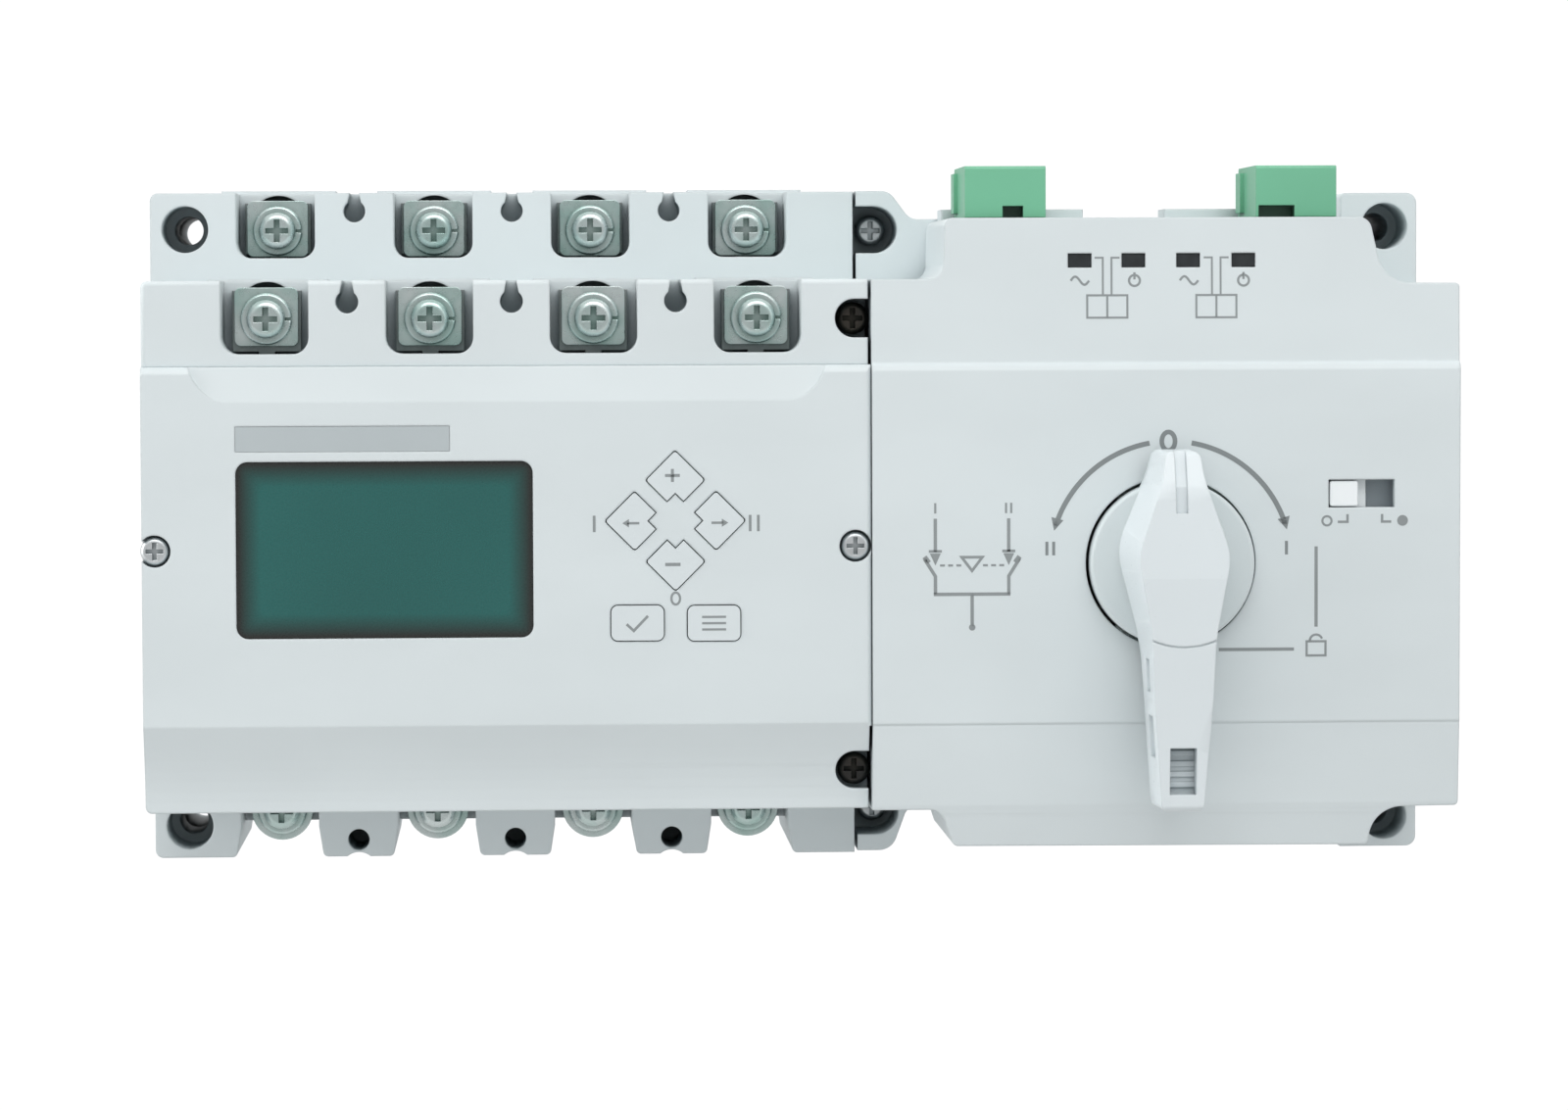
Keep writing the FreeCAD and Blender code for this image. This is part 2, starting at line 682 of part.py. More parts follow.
# ---- controller ----
def key_corners(dx, dz, grow):
    """Diamond key pointing away from the pad's centre, its inner corner cut by a notch."""
    x = KEY_CENTRE_X + dx * KEY_SPACING
    z = KEY_CENTRE_Z + dz * KEY_SPACING
    reach = KEY_DIAGONAL + grow * math.sqrt(2)
    notch = 1.5
    side_x = -dz
    side_z = dx

    def place(outward, sideways, radius):
        return (x + dx * outward + side_x * sideways, z + dz * outward + side_z * sideways, radius)

    return [
        place(reach, 0, 0.5), place(0, reach, 0.5), place(-reach + notch, notch, 0),
        place(-reach + 2 * notch, 0, 0), place(-reach + notch, -notch, 0), place(0, -reach, 0.5),
    ]


ARROW_KEYS = {"key_up": (0, 1), "key_down": (0, -1), "key_left": (-1, 0), "key_right": (1, 0)}
ROUND_KEYS = {"key_set": (-30.1, -15.9), "key_mode": (-16.1, -16.0)}
ROUND_KEY_HALF = (4.8, 3.2)


def key_shape(name, grow, d0, d1):
    if name in ARROW_KEYS:
        dx, dz = ARROW_KEYS[name]
        return outline(key_corners(dx, dz, grow), d0, d1)
    x, z = ROUND_KEYS[name]
    half_x, half_z = ROUND_KEY_HALF
    return rounded_box(x - half_x - grow, x + half_x + grow, z - half_z - grow, z + half_z + grow,
                       1.2 + grow, d0, d1)


def key_middle(name):
    if name in ARROW_KEYS:
        dx, dz = ARROW_KEYS[name]
        return KEY_CENTRE_X + dx * KEY_SPACING, KEY_CENTRE_Z + dz * KEY_SPACING
    return ROUND_KEYS[name]


def key(name):
    """Key cap with a stem that stops just in front of its tact switch."""
    cap = key_shape(name, 0, FACE - 2.6, FACE + KEY_PROUD)
    x, z = key_middle(name)
    stem = rod_y(x, z, 1.6, 93.0, FACE - 2)
    flange = block(x - 2.6, x + 2.6, z - 2.6, z + 2.6, FACE - 3.3, FACE - 2.5)
    return joined([cap, stem, flange])


def controller_cover():
    """Front shell with a scooped top edge and a cove along the bottom."""
    blank = outline(
        [(FRONT_LEFT, STEP_Z, 0), (FRONT_LEFT, FRONT_BOTTOM, 1.2), (COVER_RIGHT, FRONT_BOTTOM, 0),
         (COVER_RIGHT, STEP_Z, 0)], FRONT_WALL, FACE + 3,
    )
    points = [(STEP_Z, FRONT_WALL - 1), (STEP_Z, FACE - 1.2), (STEP_Z - 0.5, FACE - 0.35),
              (STEP_Z - 1.3, FACE), (LINE_Z + 0.6, FACE), (LINE_Z, FACE - COVE_EDGE)]
    for i in range(1, 9):
        turn = math.radians(90 * i / 8)
        points.append((LINE_Z - COVE_HEIGHT * i / 8, FACE - COVE_EDGE - COVE_DROP * math.sin(turn)))
    points.append((FRONT_BOTTOM - 1, points[-1][1] - 0.6))
    points.append((FRONT_BOTTOM - 1, FRONT_WALL - 1))
    shell = blank.common(profile(points, FRONT_LEFT - 1, COVER_RIGHT + 1))
    hollow = joined([
        block(-117.6, 5.6, -35.5, 29.2, FRONT_WALL - 1, FACE - 2),
        block(-117.6, 5.6, -48.3, -35.0, FRONT_WALL - 1, FACE - 6.5),
    ]).cut(block(-118, -113.6, -7, 2.6, FRONT_WALL - 1, FACE))
    x0, x1, z0, z1 = WINDOW
    bar_x0, bar_x1, bar_z0, bar_z1 = NAME_BAR
    tools = [
        hollow, scoop(),
        rounded_box(x0, x1, z0, z1, 2.2, FACE - 3, FACE + 1),
        block(bar_x0, bar_x1, bar_z0, bar_z1, FACE - 0.5, FACE + 1),
    ]
    for name in list(ARROW_KEYS) + list(ROUND_KEYS):
        tools.append(key_shape(name, KEY_SLOT, FACE - 3, FACE + 1))
    for x, z in cover_screw_places():
        tools.append(rod_y(x, z, 2.95, FACE - 2.7, FACE + 1))
        tools.append(rod_y(x, z, 1.6, FRONT_WALL - 1, FACE))
    x, z = seam_screw_places()[1]
    tools.append(rod_y(x, z, SEAM_RECESS, 88.4, FACE + 1))
    tools.append(block(x, COVER_RIGHT + 1, z - SEAM_RECESS, z + SEAM_RECESS, 88.4, FACE + 1))
    tools.append(block(DECK_RIGHT, COVER_RIGHT + 1, FRONT_BOTTOM - 1, LINE_Z, FRONT_WALL - 1, FACE + 1))
    tools.append(seam_bevel())
    tools.append(rod_y(x, z, 1.7, FRONT_WALL - 1, FACE))
    return cut(shell, tools)


def seam_bevel():
    """Wedge that breaks the cover's front edge along the seam with the drive."""
    corners = [(COVER_RIGHT - SEAM_BEVEL, FACE), (COVER_RIGHT + 0.1, FACE - SEAM_BEVEL - 0.1),
               (COVER_RIGHT + 0.1, FACE + 1), (COVER_RIGHT - SEAM_BEVEL, FACE + 1)]
    points = [Vector(x, -depth, LINE_Z - 1) for x, depth in corners]
    wire = Part.makePolygon(points + [points[0]])
    return Part.Face(wire).extrude(Vector(0, 0, STEP_Z - LINE_Z + 2))


def scoop():
    """Shallow dish below the top edge, with ends that curve upward."""
    x0 = -112.0
    x1 = 4.8
    wedge = profile([(STEP_Z + 1, FACE - 1.5), (24.6, FACE + 0.02), (STEP_Z + 1, FACE + 2)], x0, x1)
    dish = outline([(x0, STEP_Z + 8, 0), (x0, 24.4, 9), (x1, 24.4, 9), (x1, STEP_Z + 8, 0)],
                   FACE - 3, FACE + 3)
    return wedge.common(dish)


def lcd_window():
    x0, x1, z0, z1 = WINDOW
    return rounded_box(x0 + 0.1, x1 - 0.1, z0 + 0.1, z1 - 0.1, 2.1, FACE - 2, FACE - 0.3)


def lcd_module():
    x0, x1, z0, z1 = WINDOW
    glass = block(x0 + 1, x1 - 1, z0 + 1, z1 - 1, 92.4, 94.3)
    frame = block(x0 - 2, x1 + 2, z0 - 3, z1 + 2.6, 90.4, 92.4)
    pins = [block(x0 + 4 + 3 * i, x0 + 4.6 + 3 * i, z0 - 2.4, z0 - 1.8, 89.6, 90.4)
            for i in range(16)]
    return joined([glass, frame] + pins)


def controller_pcb():
    board = block(-112, 4.4, -33, 28, 88.0, 89.6)
    parts = [
        block(-44, -34, -30, -22, 89.6, 91.0), block(-10, 0, -30, -24, 89.6, 92.0),
        block(-42, -36, 12, 24, 89.6, 92.4), block(-8, 2, 10, 22, 89.6, 91.6),
    ]
    return joined([board] + parts)


def tact_switches():
    solids = []
    for name in list(ARROW_KEYS) + list(ROUND_KEYS):
        x, z = key_middle(name)
        body = block(x - 2.4, x + 2.4, z - 2.4, z + 2.4, 89.6, 91.4)
        solids.append(joined([body, rod_y(x, z, 1.3, 91.4, 92.1)]))
    return group(solids)


def name_plate():
    x0, x1, z0, z1 = NAME_BAR
    return block(x0 + 0.05, x1 - 0.05, z0 + 0.05, z1 - 0.05, FACE - 0.5, FACE + 0.02)


def cover_screws():
    """Zinc-plated screws: two through the controller cover and two down in the drive's ears."""
    screws = [pan_screw(x, z, 2.6, 2.0, 1.5, FACE - 0.5, 76) for x, z in cover_screw_places()]
    for x, z in ear_screw_places():
        screws.append(pan_screw(x, z, 2.9, 2.4, 1.9, EAR_FLOOR + 3.2, 22))
    return group(screws)


def seam_screws():
    """Two black screws beside the seam between the front deck and the drive."""
    upper, lower = seam_screw_places()
    return group([
        pan_screw(upper[0], upper[1], 3.0, 2.4, 1.6, 89.4, 73),
        pan_screw(lower[0], lower[1], 3.0, 2.4, 1.6, 90.8, 73),
    ])


# ---- motor drive ----
def drive_base_outline(d0, d1):
    """Back outline: an ear at each corner, the lower left one set off by a notch."""
    return outline(
        [(DRIVE_LEFT, EAR_TOP, 0), (DRIVE_LEFT, EAR_BOTTOM, 0), (19.6, EAR_BOTTOM, 3.5),
         (22.6, -54.6, 2), (30.5, -54.6, 1.2), (30.5, -57.8, 0.6), (106.5, -57.8, 1),
         (106.5, EAR_BOTTOM, 0), (121.2, EAR_BOTTOM, 2), (121.2, EAR_TOP - 0.6, 2),
         (106.5, EAR_TOP - 0.6, 1), (106.5, BASE_TOP, 0), (23.4, BASE_TOP, 3), (19.4, EAR_TOP, 3)],
        d0, d1,
    )


def drive_base():
    """Back shell with solid corners for the fixing holes and the ear screws."""
    blank = drive_base_outline(0, EAR_FACE)
    hollow = block(15.6, 118.8, -55.4, 55.6, WALL, EAR_FACE + 1)
    corners = [
        block(x0, x1, z0, z1, 0, EAR_FACE)
        for x0, x1 in ((DRIVE_LEFT, 34.0), (104.0, 120.0)) for z0, z1 in ((-60, -48.0), (43.0, 60))
    ]
    tools = [hollow.cut(group(corners))]
    for side in (-1, 1):
        z = side * MOUNT_Z
        tools.append(rod_y(MOUNT_X, z, MOUNT_BORE, MOUNT_FLOOR, EAR_FACE + 1))
        tools.append(rod_y(MOUNT_X, z, MOUNT_HOLE, -1, MOUNT_FLOOR + 1))
    for x, z in ear_screw_places():
        tools.append(rod_y(x, z, EAR_BORE, EAR_FLOOR, EAR_FACE + 1))
        tools.append(block(DRIVE_LEFT - 1, x, z - EAR_BORE, z + EAR_BORE, EAR_FLOOR, EAR_FACE + 1))
        tools.append(rod_y(x, z, 1.9, 20, EAR_FACE))
    tools.append(rod_x(REAR_SHAFT, SHAFT_Z, 8.0, DRIVE_LEFT - 1, 16))
    rails = [block(60, 63, -50, -44, WALL, 20), block(60, 63, 30, 36, WALL, 20)]
    return cut(blank, tools).fuse(rails).removeSplitter()


def drive_cover_outline(d0, d1):
    """Front outline: stepped at the ears, with concave sweeps beside them."""
    return outline(
        [(DRIVE_LEFT, 46.8, 0), (DRIVE_LEFT, -50.8, 0), (25.7, -50.8, 3.2), (28.0, -57.7, 1.2),
         (104.9, -58.0, 0.8), (105.6, -50.9, 6.0), (DRIVE_RIGHT - 0.2, -50.7, 0.8),
         (DRIVE_RIGHT, 45.8, 0.8), (107.6, 45.9, 6.0), (104.9, DRIVE_TOP, 2.6),
         (26.6, DRIVE_TOP, 1.5), (26.2, 46.8, 2.8)], d0, d1,
    )


def drive_cover():
    """Front shell with the dial opening, lamp windows, selector slot and connector openings."""
    points = [
        (DRIVE_TOP + 3, EAR_FACE - 1), (DRIVE_TOP + 3, FACE - 2.3), (STEP_Z + 0.3, FACE - 1.3),
        (STEP_Z - 0.3, FACE - 0.3), (STEP_Z - 1.2, FACE), (LINE_Z + 0.3, FACE), (LINE_Z, FACE - 0.25),
        (LINE_Z - 0.3, FACE - 0.2), (-50, FACE - 1.4), (-62, FACE - 4.0), (-62, EAR_FACE - 1),
    ]
    blank = drive_cover_outline(EAR_FACE, FACE + 2)
    shell = blank.common(profile(points, DRIVE_LEFT - 1, DRIVE_RIGHT + 1))
    collars = [block(28.7, 55.7, DRIVE_TOP - 1, DRIVE_TOP + 2.2, EAR_FACE, BOARD - 0.2),
               block(71.2, 103.4, DRIVE_TOP - 1, DRIVE_TOP + 2.2, EAR_FACE, BOARD - 0.2)]
    shell = joined([shell] + collars)
    hollow = joined([
        block(15.6, 119.2, -48.4, 43.6, EAR_FACE - 1, FACE - SKIN),
        block(31.2, 102.6, -55.4, 55.6, EAR_FACE - 1, FACE - 2 * SKIN),
    ])
    tools = [hollow, rod_y(HANDLE_X, HANDLE_Z, DIAL_R + DIAL_GAP, FACE - 5, FACE + 1)]
    tools.append(block(97.1, 109.3, 4.55, 9.66, FACE - 4, FACE + 1))
    for x in LAMPS:
        tools.append(block(x - 2.2, x + 2.2, LAMP_Z - 1.3, LAMP_Z + 1.3, FACE - 6, FACE + 1))
    for x in PLUGS.values():
        tools.append(block(x - 9.0, x + 9.0, DRIVE_TOP - 13, DRIVE_TOP + 1, BOARD - 0.2, PLUG_FRONT + 1.4))
    tools.append(rod_x(FRONT_SHAFT, SHAFT_Z, 8.0, DRIVE_LEFT - 1, 16))
    return cut(shell, tools)


def mechanism_plates():
    """Two steel plates that carry the handle shaft, the gears and the gearbox."""
    plates = []
    for d0 in (68.0, 88.0):
        plate = rounded_box(58.4, 93.6, -45, 24.4, 3, d0, d0 + 2)
        holes = [rod_y(HANDLE_X, HANDLE_Z, HANDLE_SHAFT_R + RUN_FIT, d0 - 1, d0 + 3)]
        holes.append(rod_y(MOTOR_X, MOTOR_Z, 3 + RUN_FIT, d0 - 1, d0 + 3))
        holes += [rod_y(x, z, 1.6, d0 - 1, d0 + 3) for x, z in spacer_places()]
        plates.append(cut(plate, holes))
    return group(plates)


def spacer_places():
    return [(67.0, -41.0), (90.0, -41.0), (67.0, 20.6), (90.0, 20.6)]


def plate_spacers():
    solids = []
    for x, z in spacer_places():
        body = rod_y(x, z, 3.0, 70, 88)
        ends = [rod_y(x, z, 1.6, 68, 70), rod_y(x, z, 1.6, 88, 90)]
        post = rod_y(x, z, 3.0, WALL, 68)
        solids.append(joined([post, body] + ends))
    return group(solids)


def handle_shaft():
    shaft = rod_y(HANDLE_X, HANDLE_Z, HANDLE_SHAFT_R, 66.0, 92.0)
    square = block(HANDLE_X - 3.5, HANDLE_X + 3.5, HANDLE_Z - 3.5, HANDLE_Z + 3.5, 91.5, 106.0)
    collar = rod_y(HANDLE_X, HANDLE_Z, 6.5, 66.0, 67.6)
    return joined([shaft, square, collar])


def grip_profile(x0, x1):
    """Side view of the grip: raised over the dial, with the nose and tail clear of the cover."""
    z = HANDLE_Z
    corners = [
        (z + NOSE, 99.2, 0.8), (z + NOSE, 114.2, 1.6), (z + 14.0, 117.2, 10.0),
        (z - 2, GRIP_TOP, 0), (z - 14, GRIP_TOP - 0.6, 0), (z - TAIL, GRIP_TOP - 3.4, 1.2),
        (z - TAIL, 102.8, 0.6), (z - 13.0, DIAL_FACE - 0.6, 0), (z - 13.0, DIAL_FACE - 2.0, 0),
        (z + 13.0, DIAL_FACE - 2.0, 0), (z + 13.0, 99.2, 0),
    ]
    solid = Part.Face(rounded_wire(corners, side_plane)).extrude(Vector(x1 - x0, 0, 0))
    solid.translate(Vector(x0, 0, 0))
    return solid


def grip_section(corners, depth):
    """Closed outline of the grip at one depth, from the corners of its right half."""
    right = [(HANDLE_X + half, HANDLE_Z + z, radius) for half, z, radius in corners]
    left = [(HANDLE_X - half, HANDLE_Z + z, radius) for half, z, radius in reversed(corners)]
    wire = rounded_wire(right + left)
    wire.translate(Vector(0, -depth, 0))
    return wire


def grip_body():
    """Drafted grip: a wide oval foot over the dial, a slim nose, waist and tail on top."""
    foot = grip_section(GRIP_FOOT, 97.0)
    top = grip_section(GRIP_CREST, GRIP_TOP + 1)
    solid = Part.makeLoft([foot, top], True, True)
    return solid.common(grip_profile(HANDLE_X - 13, HANDLE_X + 13))


def handle_grip():
    """Dial disc and grip in one moulding, hollowed for the shaft and the padlock slide."""
    disc = rod_y(HANDLE_X, HANDLE_Z, DIAL_R, 92.0, DIAL_FACE)
    disc = round_edges(disc, 0.7, lambda edge: at_depth(edge, DIAL_FACE))
    body = joined([disc, grip_body()])
    x, z = HANDLE_X, HANDLE_Z
    seam = rod_y(x, z, 14.5, GRIP_TOP - 0.85, GRIP_TOP + 1).cut(rod_y(x, z, 14.2, 100, GRIP_TOP + 2))
    tools = [
        block(x - 3.5, x + 3.5, z - 3.5, z + 3.5, 91.5, 106.0),
        profile([(z + 9.8, GRIP_TOP - 1.3), (z + 14.5, GRIP_TOP - 1.8), (z + 22, GRIP_TOP - 5.4),
                 (z + 22, GRIP_TOP + 1), (z + 9.8, GRIP_TOP + 1)], x - 1.5, x + 0.6),
        block(x - 3.1, x + 3.1, z - 46, z - 20.6, 105.7, 111.9),
        block(x - 2.4, x + 2.4, z - 41.2, z - 32.7, 111.0, GRIP_TOP + 1),
        seam.common(block(x - 8, x + 8, z - 16, z - 8, 100, GRIP_TOP + 2)),
        block(x - 12, x + 12, z - 34.8, z - 27.2, 106.0, 111.6),
        block(x - 12, x - 4.9, z - 22.9, z - 16.9, 106.4, 110.6),
    ]
    tools.append(rod_z(x, 101.4, 1.25, z + 3.5, z + 21))
    return cut(body, tools)


def handle_set_screw():
    """Grub screw that pins the grip on the square."""
    screw = rod_z(HANDLE_X, 101.4, 1.25, HANDLE_Z + 3.5, HANDLE_Z + 11.5)
    return screw.cut(block(HANDLE_X - 0.3, HANDLE_X + 0.3, HANDLE_Z + 10.5, HANDLE_Z + 12, 99, 104))


def padlock_slide():
    """Pull-out tongue in the grip's tail, ridged under its window, with the padlock hole."""
    x, z = HANDLE_X, HANDLE_Z
    body = block(x - 2.9, x + 2.9, z - 43.9, z - 22.0, 105.9, 111.7)
    tools = [rod_x(108.4, z - 39.4, 2.2, x - 5, x + 5)]
    for i in range(9):
        tools.append(block(x - 3, x + 3, z - 41.0 + 1.9 * i, z - 40.1 + 1.9 * i, 111.35, 112))
    return cut(body, tools)


def main_gear():
    """Cluster gear: a wheel driven by the motor and a pinion that drives the rack."""
    wheel = involute_gear(WHEEL_TEETH, DRIVE_MODULE, 4.0, math.radians(MOTOR_ANGLE))
    wheel = turn_to_y(wheel, HANDLE_X, HANDLE_Z, 82.0)
    pinion = involute_gear(HANDLE_TEETH, RACK_MODULE, 5.8, math.pi + math.pi / HANDLE_TEETH)
    pinion = turn_to_y(pinion, HANDLE_X, HANDLE_Z, 74.6)
    neck = rod_y(HANDLE_X, HANDLE_Z, 7.0, 80.0, 82.5)
    hub = rod_y(HANDLE_X, HANDLE_Z, 8.0, 85.5, 87.6)
    holes = [rod_y(HANDLE_X, HANDLE_Z, HANDLE_SHAFT_R, 70, 90)]
    for i in range(6):
        turn = math.radians(60 * i)
        holes.append(rod_y(HANDLE_X + 13 * math.cos(turn), HANDLE_Z + 13 * math.sin(turn), 2.8, 81, 87))
    return cut(joined([wheel, pinion, neck, hub]), holes)


def position_cam():
    """Disc with two lobes that tell the switches where the handle is."""
    disc = rod_y(HANDLE_X, HANDLE_Z, 11.0, 71.0, 73.6)
    tools = [rod_y(HANDLE_X, HANDLE_Z, HANDLE_SHAFT_R, 70, 75)]
    for turn in (30, 150, 240):
        a = math.radians(turn)
        tools.append(rod_y(HANDLE_X + 12.5 * math.cos(a), HANDLE_Z + 12.5 * math.sin(a), 3.5, 70, 75))
    return cut(disc, tools)


def drive_motor():
    can = rod_y(MOTOR_X, MOTOR_Z, 13.0, 14.0, 50.0)
    can = round_edges(can, 1.5, lambda edge: at_depth(edge, 14.0))
    boss = rod_y(MOTOR_X, MOTOR_Z, 5.0, 11.0, 14.0)
    tags = [block(MOTOR_X + s * 7 - 0.4, MOTOR_X + s * 7 + 0.4, MOTOR_Z - 2, MOTOR_Z + 2, 9.5, 14.2)
            for s in (-1, 1)]
    return joined([can, boss] + tags)


def motor_gearbox():
    """Gearbox bolted behind the rear mechanism plate, with its own output bore."""
    box = rounded_box(MOTOR_X - 14, MOTOR_X + 14, MOTOR_Z - 12.6, MOTOR_Z + 13.6, 3, 50.0, 68.0)
    tools = [rod_y(MOTOR_X, MOTOR_Z, 3 + RUN_FIT, 60, 69)]
    for x, z in spacer_places():
        tools.append(rod_y(x, z, 3.2, 40, 80))
    for s in (-1, 1):
        tools.append(rod_y(MOTOR_X + s * 10.5, MOTOR_Z + 10.0, 1.2, 62, 69))
    return cut(box, tools)


def motor_pinion():
    phase = math.radians(MOTOR_ANGLE) + math.pi + math.pi / MOTOR_TEETH
    gear = turn_to_y(involute_gear(MOTOR_TEETH, DRIVE_MODULE, 4.4, phase), MOTOR_X, MOTOR_Z, 81.8)
    shaft = rod_y(MOTOR_X, MOTOR_Z, 3.0, 60.6, 89.6)
    return joined([gear, shaft])


def rack_slider():
    """One moulding with three racks: the handle pinion's, and the front and rear shafts'."""
    count = 9
    length = 46.0
    teeth = rack_outline(length, RACK_MODULE, count)
    mid = (REAR_SHAFT + FRONT_SHAFT) / 2
    front_line = FRONT_SHAFT - SHAFT_PITCH_R
    rear_line = REAR_SHAFT + SHAFT_PITCH_R
    front_points = [(SHAFT_Z + s, front_line + h) for s, h in teeth]
    rear_points = [(SHAFT_Z + s, rear_line - h) for s, h in teeth]
    x0 = PINION_X0 + 0.3
    x1 = PINION_X1 - 0.3
    bar = profile(front_points + list(reversed(rear_points)), x0, x1)
    arm = block(x1 - 1, 54.0, SHAFT_Z - 11, SHAFT_Z + 11, mid - 2, mid + 2)
    web = block(50.0, 54.0, HANDLE_Z - 9, HANDLE_Z + 13, mid - 2, 80.4)
    pitch_x = HANDLE_X - HANDLE_PITCH_R
    outline_points = [(pitch_x + h, HANDLE_Z + s, 0) for s, h in teeth]
    outline_points += [(50.0, HANDLE_Z + length / 2, 0), (50.0, HANDLE_Z - length / 2, 0)]
    head = outline(outline_points, 74.6, 80.4)
    return joined([bar, arm, web, head])


def rack_guide():
    """Bearing bracket for the shaft ends, with the window that guides the rack's arm."""
    mid = (REAR_SHAFT + FRONT_SHAFT) / 2
    plate = block(38.0, 42.0, -42.0, 32.0, WALL, 80.0)
    foot = block(36.0, 46.0, -42.0, 32.0, WALL, 6.0)
    tools = [block(37, 43, SHAFT_Z - 27, SHAFT_Z + 27, mid - 2.15, mid + 2.15)]
    for depth in (REAR_SHAFT, FRONT_SHAFT):
        tools.append(rod_x(depth, SHAFT_Z, 8.0, 37, 43))
    return cut(joined([plate, foot]), tools)


def limit_switches():
    """Two small switches beside the cam, each with a lever just clear of it."""
    top = block(64.0, 82.0, 8.0, 14.4, 70.0, 76.2)
    top_lever = block(65.0, 81.0, 6.6, 7.0, 71.2, 73.4)
    top_post = block(72.0, 74.0, 7.0, 8.0, 71.6, 73.0)
    side = block(81.4, 87.8, -17.0, 1.0, 70.0, 76.2)
    side_lever = block(80.0, 80.4, -16.0, 0.0, 71.2, 73.4)
    side_post = block(80.4, 81.4, -9.0, -7.0, 71.6, 73.0)
    return group([joined([top, top_lever, top_post]), joined([side, side_lever, side_post])])


def drive_pcb():
    board = block(31.6, 102.2, 33.5, 55.2, BOARD - 1.6, BOARD)
    parts = [
        block(52, 60, 36, 44, BOARD, BOARD + 2.4), block(64, 76, 36, 42, BOARD, BOARD + 3.4),
        block(79, 83, 36, 44, BOARD, BOARD + 4.4),
    ]
    return joined([board] + parts)


def led_lenses():
    """Light guides from the board to the four indicator windows."""
    return group(
        block(x - 2.1, x + 2.1, LAMP_Z - 1.2, LAMP_Z + 1.2, BOARD, FACE - 2.3) for x in LAMPS
    )


def connector_headers():
    """Sockets on the board, open at the top, with four pins each."""
    solids = []
    for x in PLUGS.values():
        shell = block(x - 8.6, x + 8.6, 45.6, DRIVE_TOP - 0.4, BOARD, PLUG_FRONT + 1.0)
        shell = shell.cut(block(x - 6.9, x + 6.9, 47.6, DRIVE_TOP + 1, PLUG_BACK + 0.4, PLUG_FRONT - 1.6))
        pins = [block(x - 4.9 + 3.0 * i, x - 4.1 + 3.0 * i, 47.0, 55.0, 73.2, 74.0) for i in range(4)]
        solids.append(joined([shell] + pins))
    return group(solids)


def connector_plug(side):
    """Pluggable terminal block with four wire entries on top and a notch at the foot of its front."""
    x = PLUGS[side]
    notch_x0, notch_x1 = PLUG_NOTCH[side]
    body = block(x - PLUG_HALF, x + PLUG_HALF, DRIVE_TOP + 0.2, PLUG_TOP, PLUG_BACK, PLUG_FRONT)
    body = round_edges(body, 0.6, lambda edge: along(edge, Vector(1, 0, 0))
                       and edge.BoundBox.ZMin > PLUG_TOP - 1)
    insert = block(x - 6.6, x + 6.6, 49.0, DRIVE_TOP + 1, PLUG_BACK + 0.7, PLUG_FRONT - 1.9)
    rib = block(x - PLUG_HALF - 0.8, x - PLUG_HALF + 1, DRIVE_TOP + 1.2, PLUG_TOP - 1.0, 64, 70)
    tools = [block(x + notch_x0, x + notch_x1, DRIVE_TOP, DRIVE_TOP + 2.3, PLUG_FRONT - 4.5, PLUG_FRONT + 1)]
    for i in range(4):
        px = x - 4.5 + 3.0 * i
        tools.append(block(px - 1.1, px + 1.1, PLUG_TOP - 7, PLUG_TOP + 1, 77.6, 81.2))
        tools.append(rod_z(px, 68.0, 1.1, PLUG_TOP - 5, PLUG_TOP + 1))
        tools.append(block(px - 0.7, px + 0.7, 48, 56.4, 72.6, 74.6))
    return cut(joined([body, insert, rib]), tools)


def selector_knob():
    cap = block(97.35, 102.6, 4.75, 9.46, 93.4, FACE - 0.3)
    foot = block(96.2, 104.4, 3.6, 10.6, 92.6, 93.8)
    return joined([cap, foot])


def selector_switch():
    body = block(94.6, 112.4, 1.4, 12.8, 84.0, 92.4)
    pins = [block(96 + 4 * i, 97 + 4 * i, 6, 8, 80.0, 84.0) for i in range(4)]
    return joined([body] + pins)


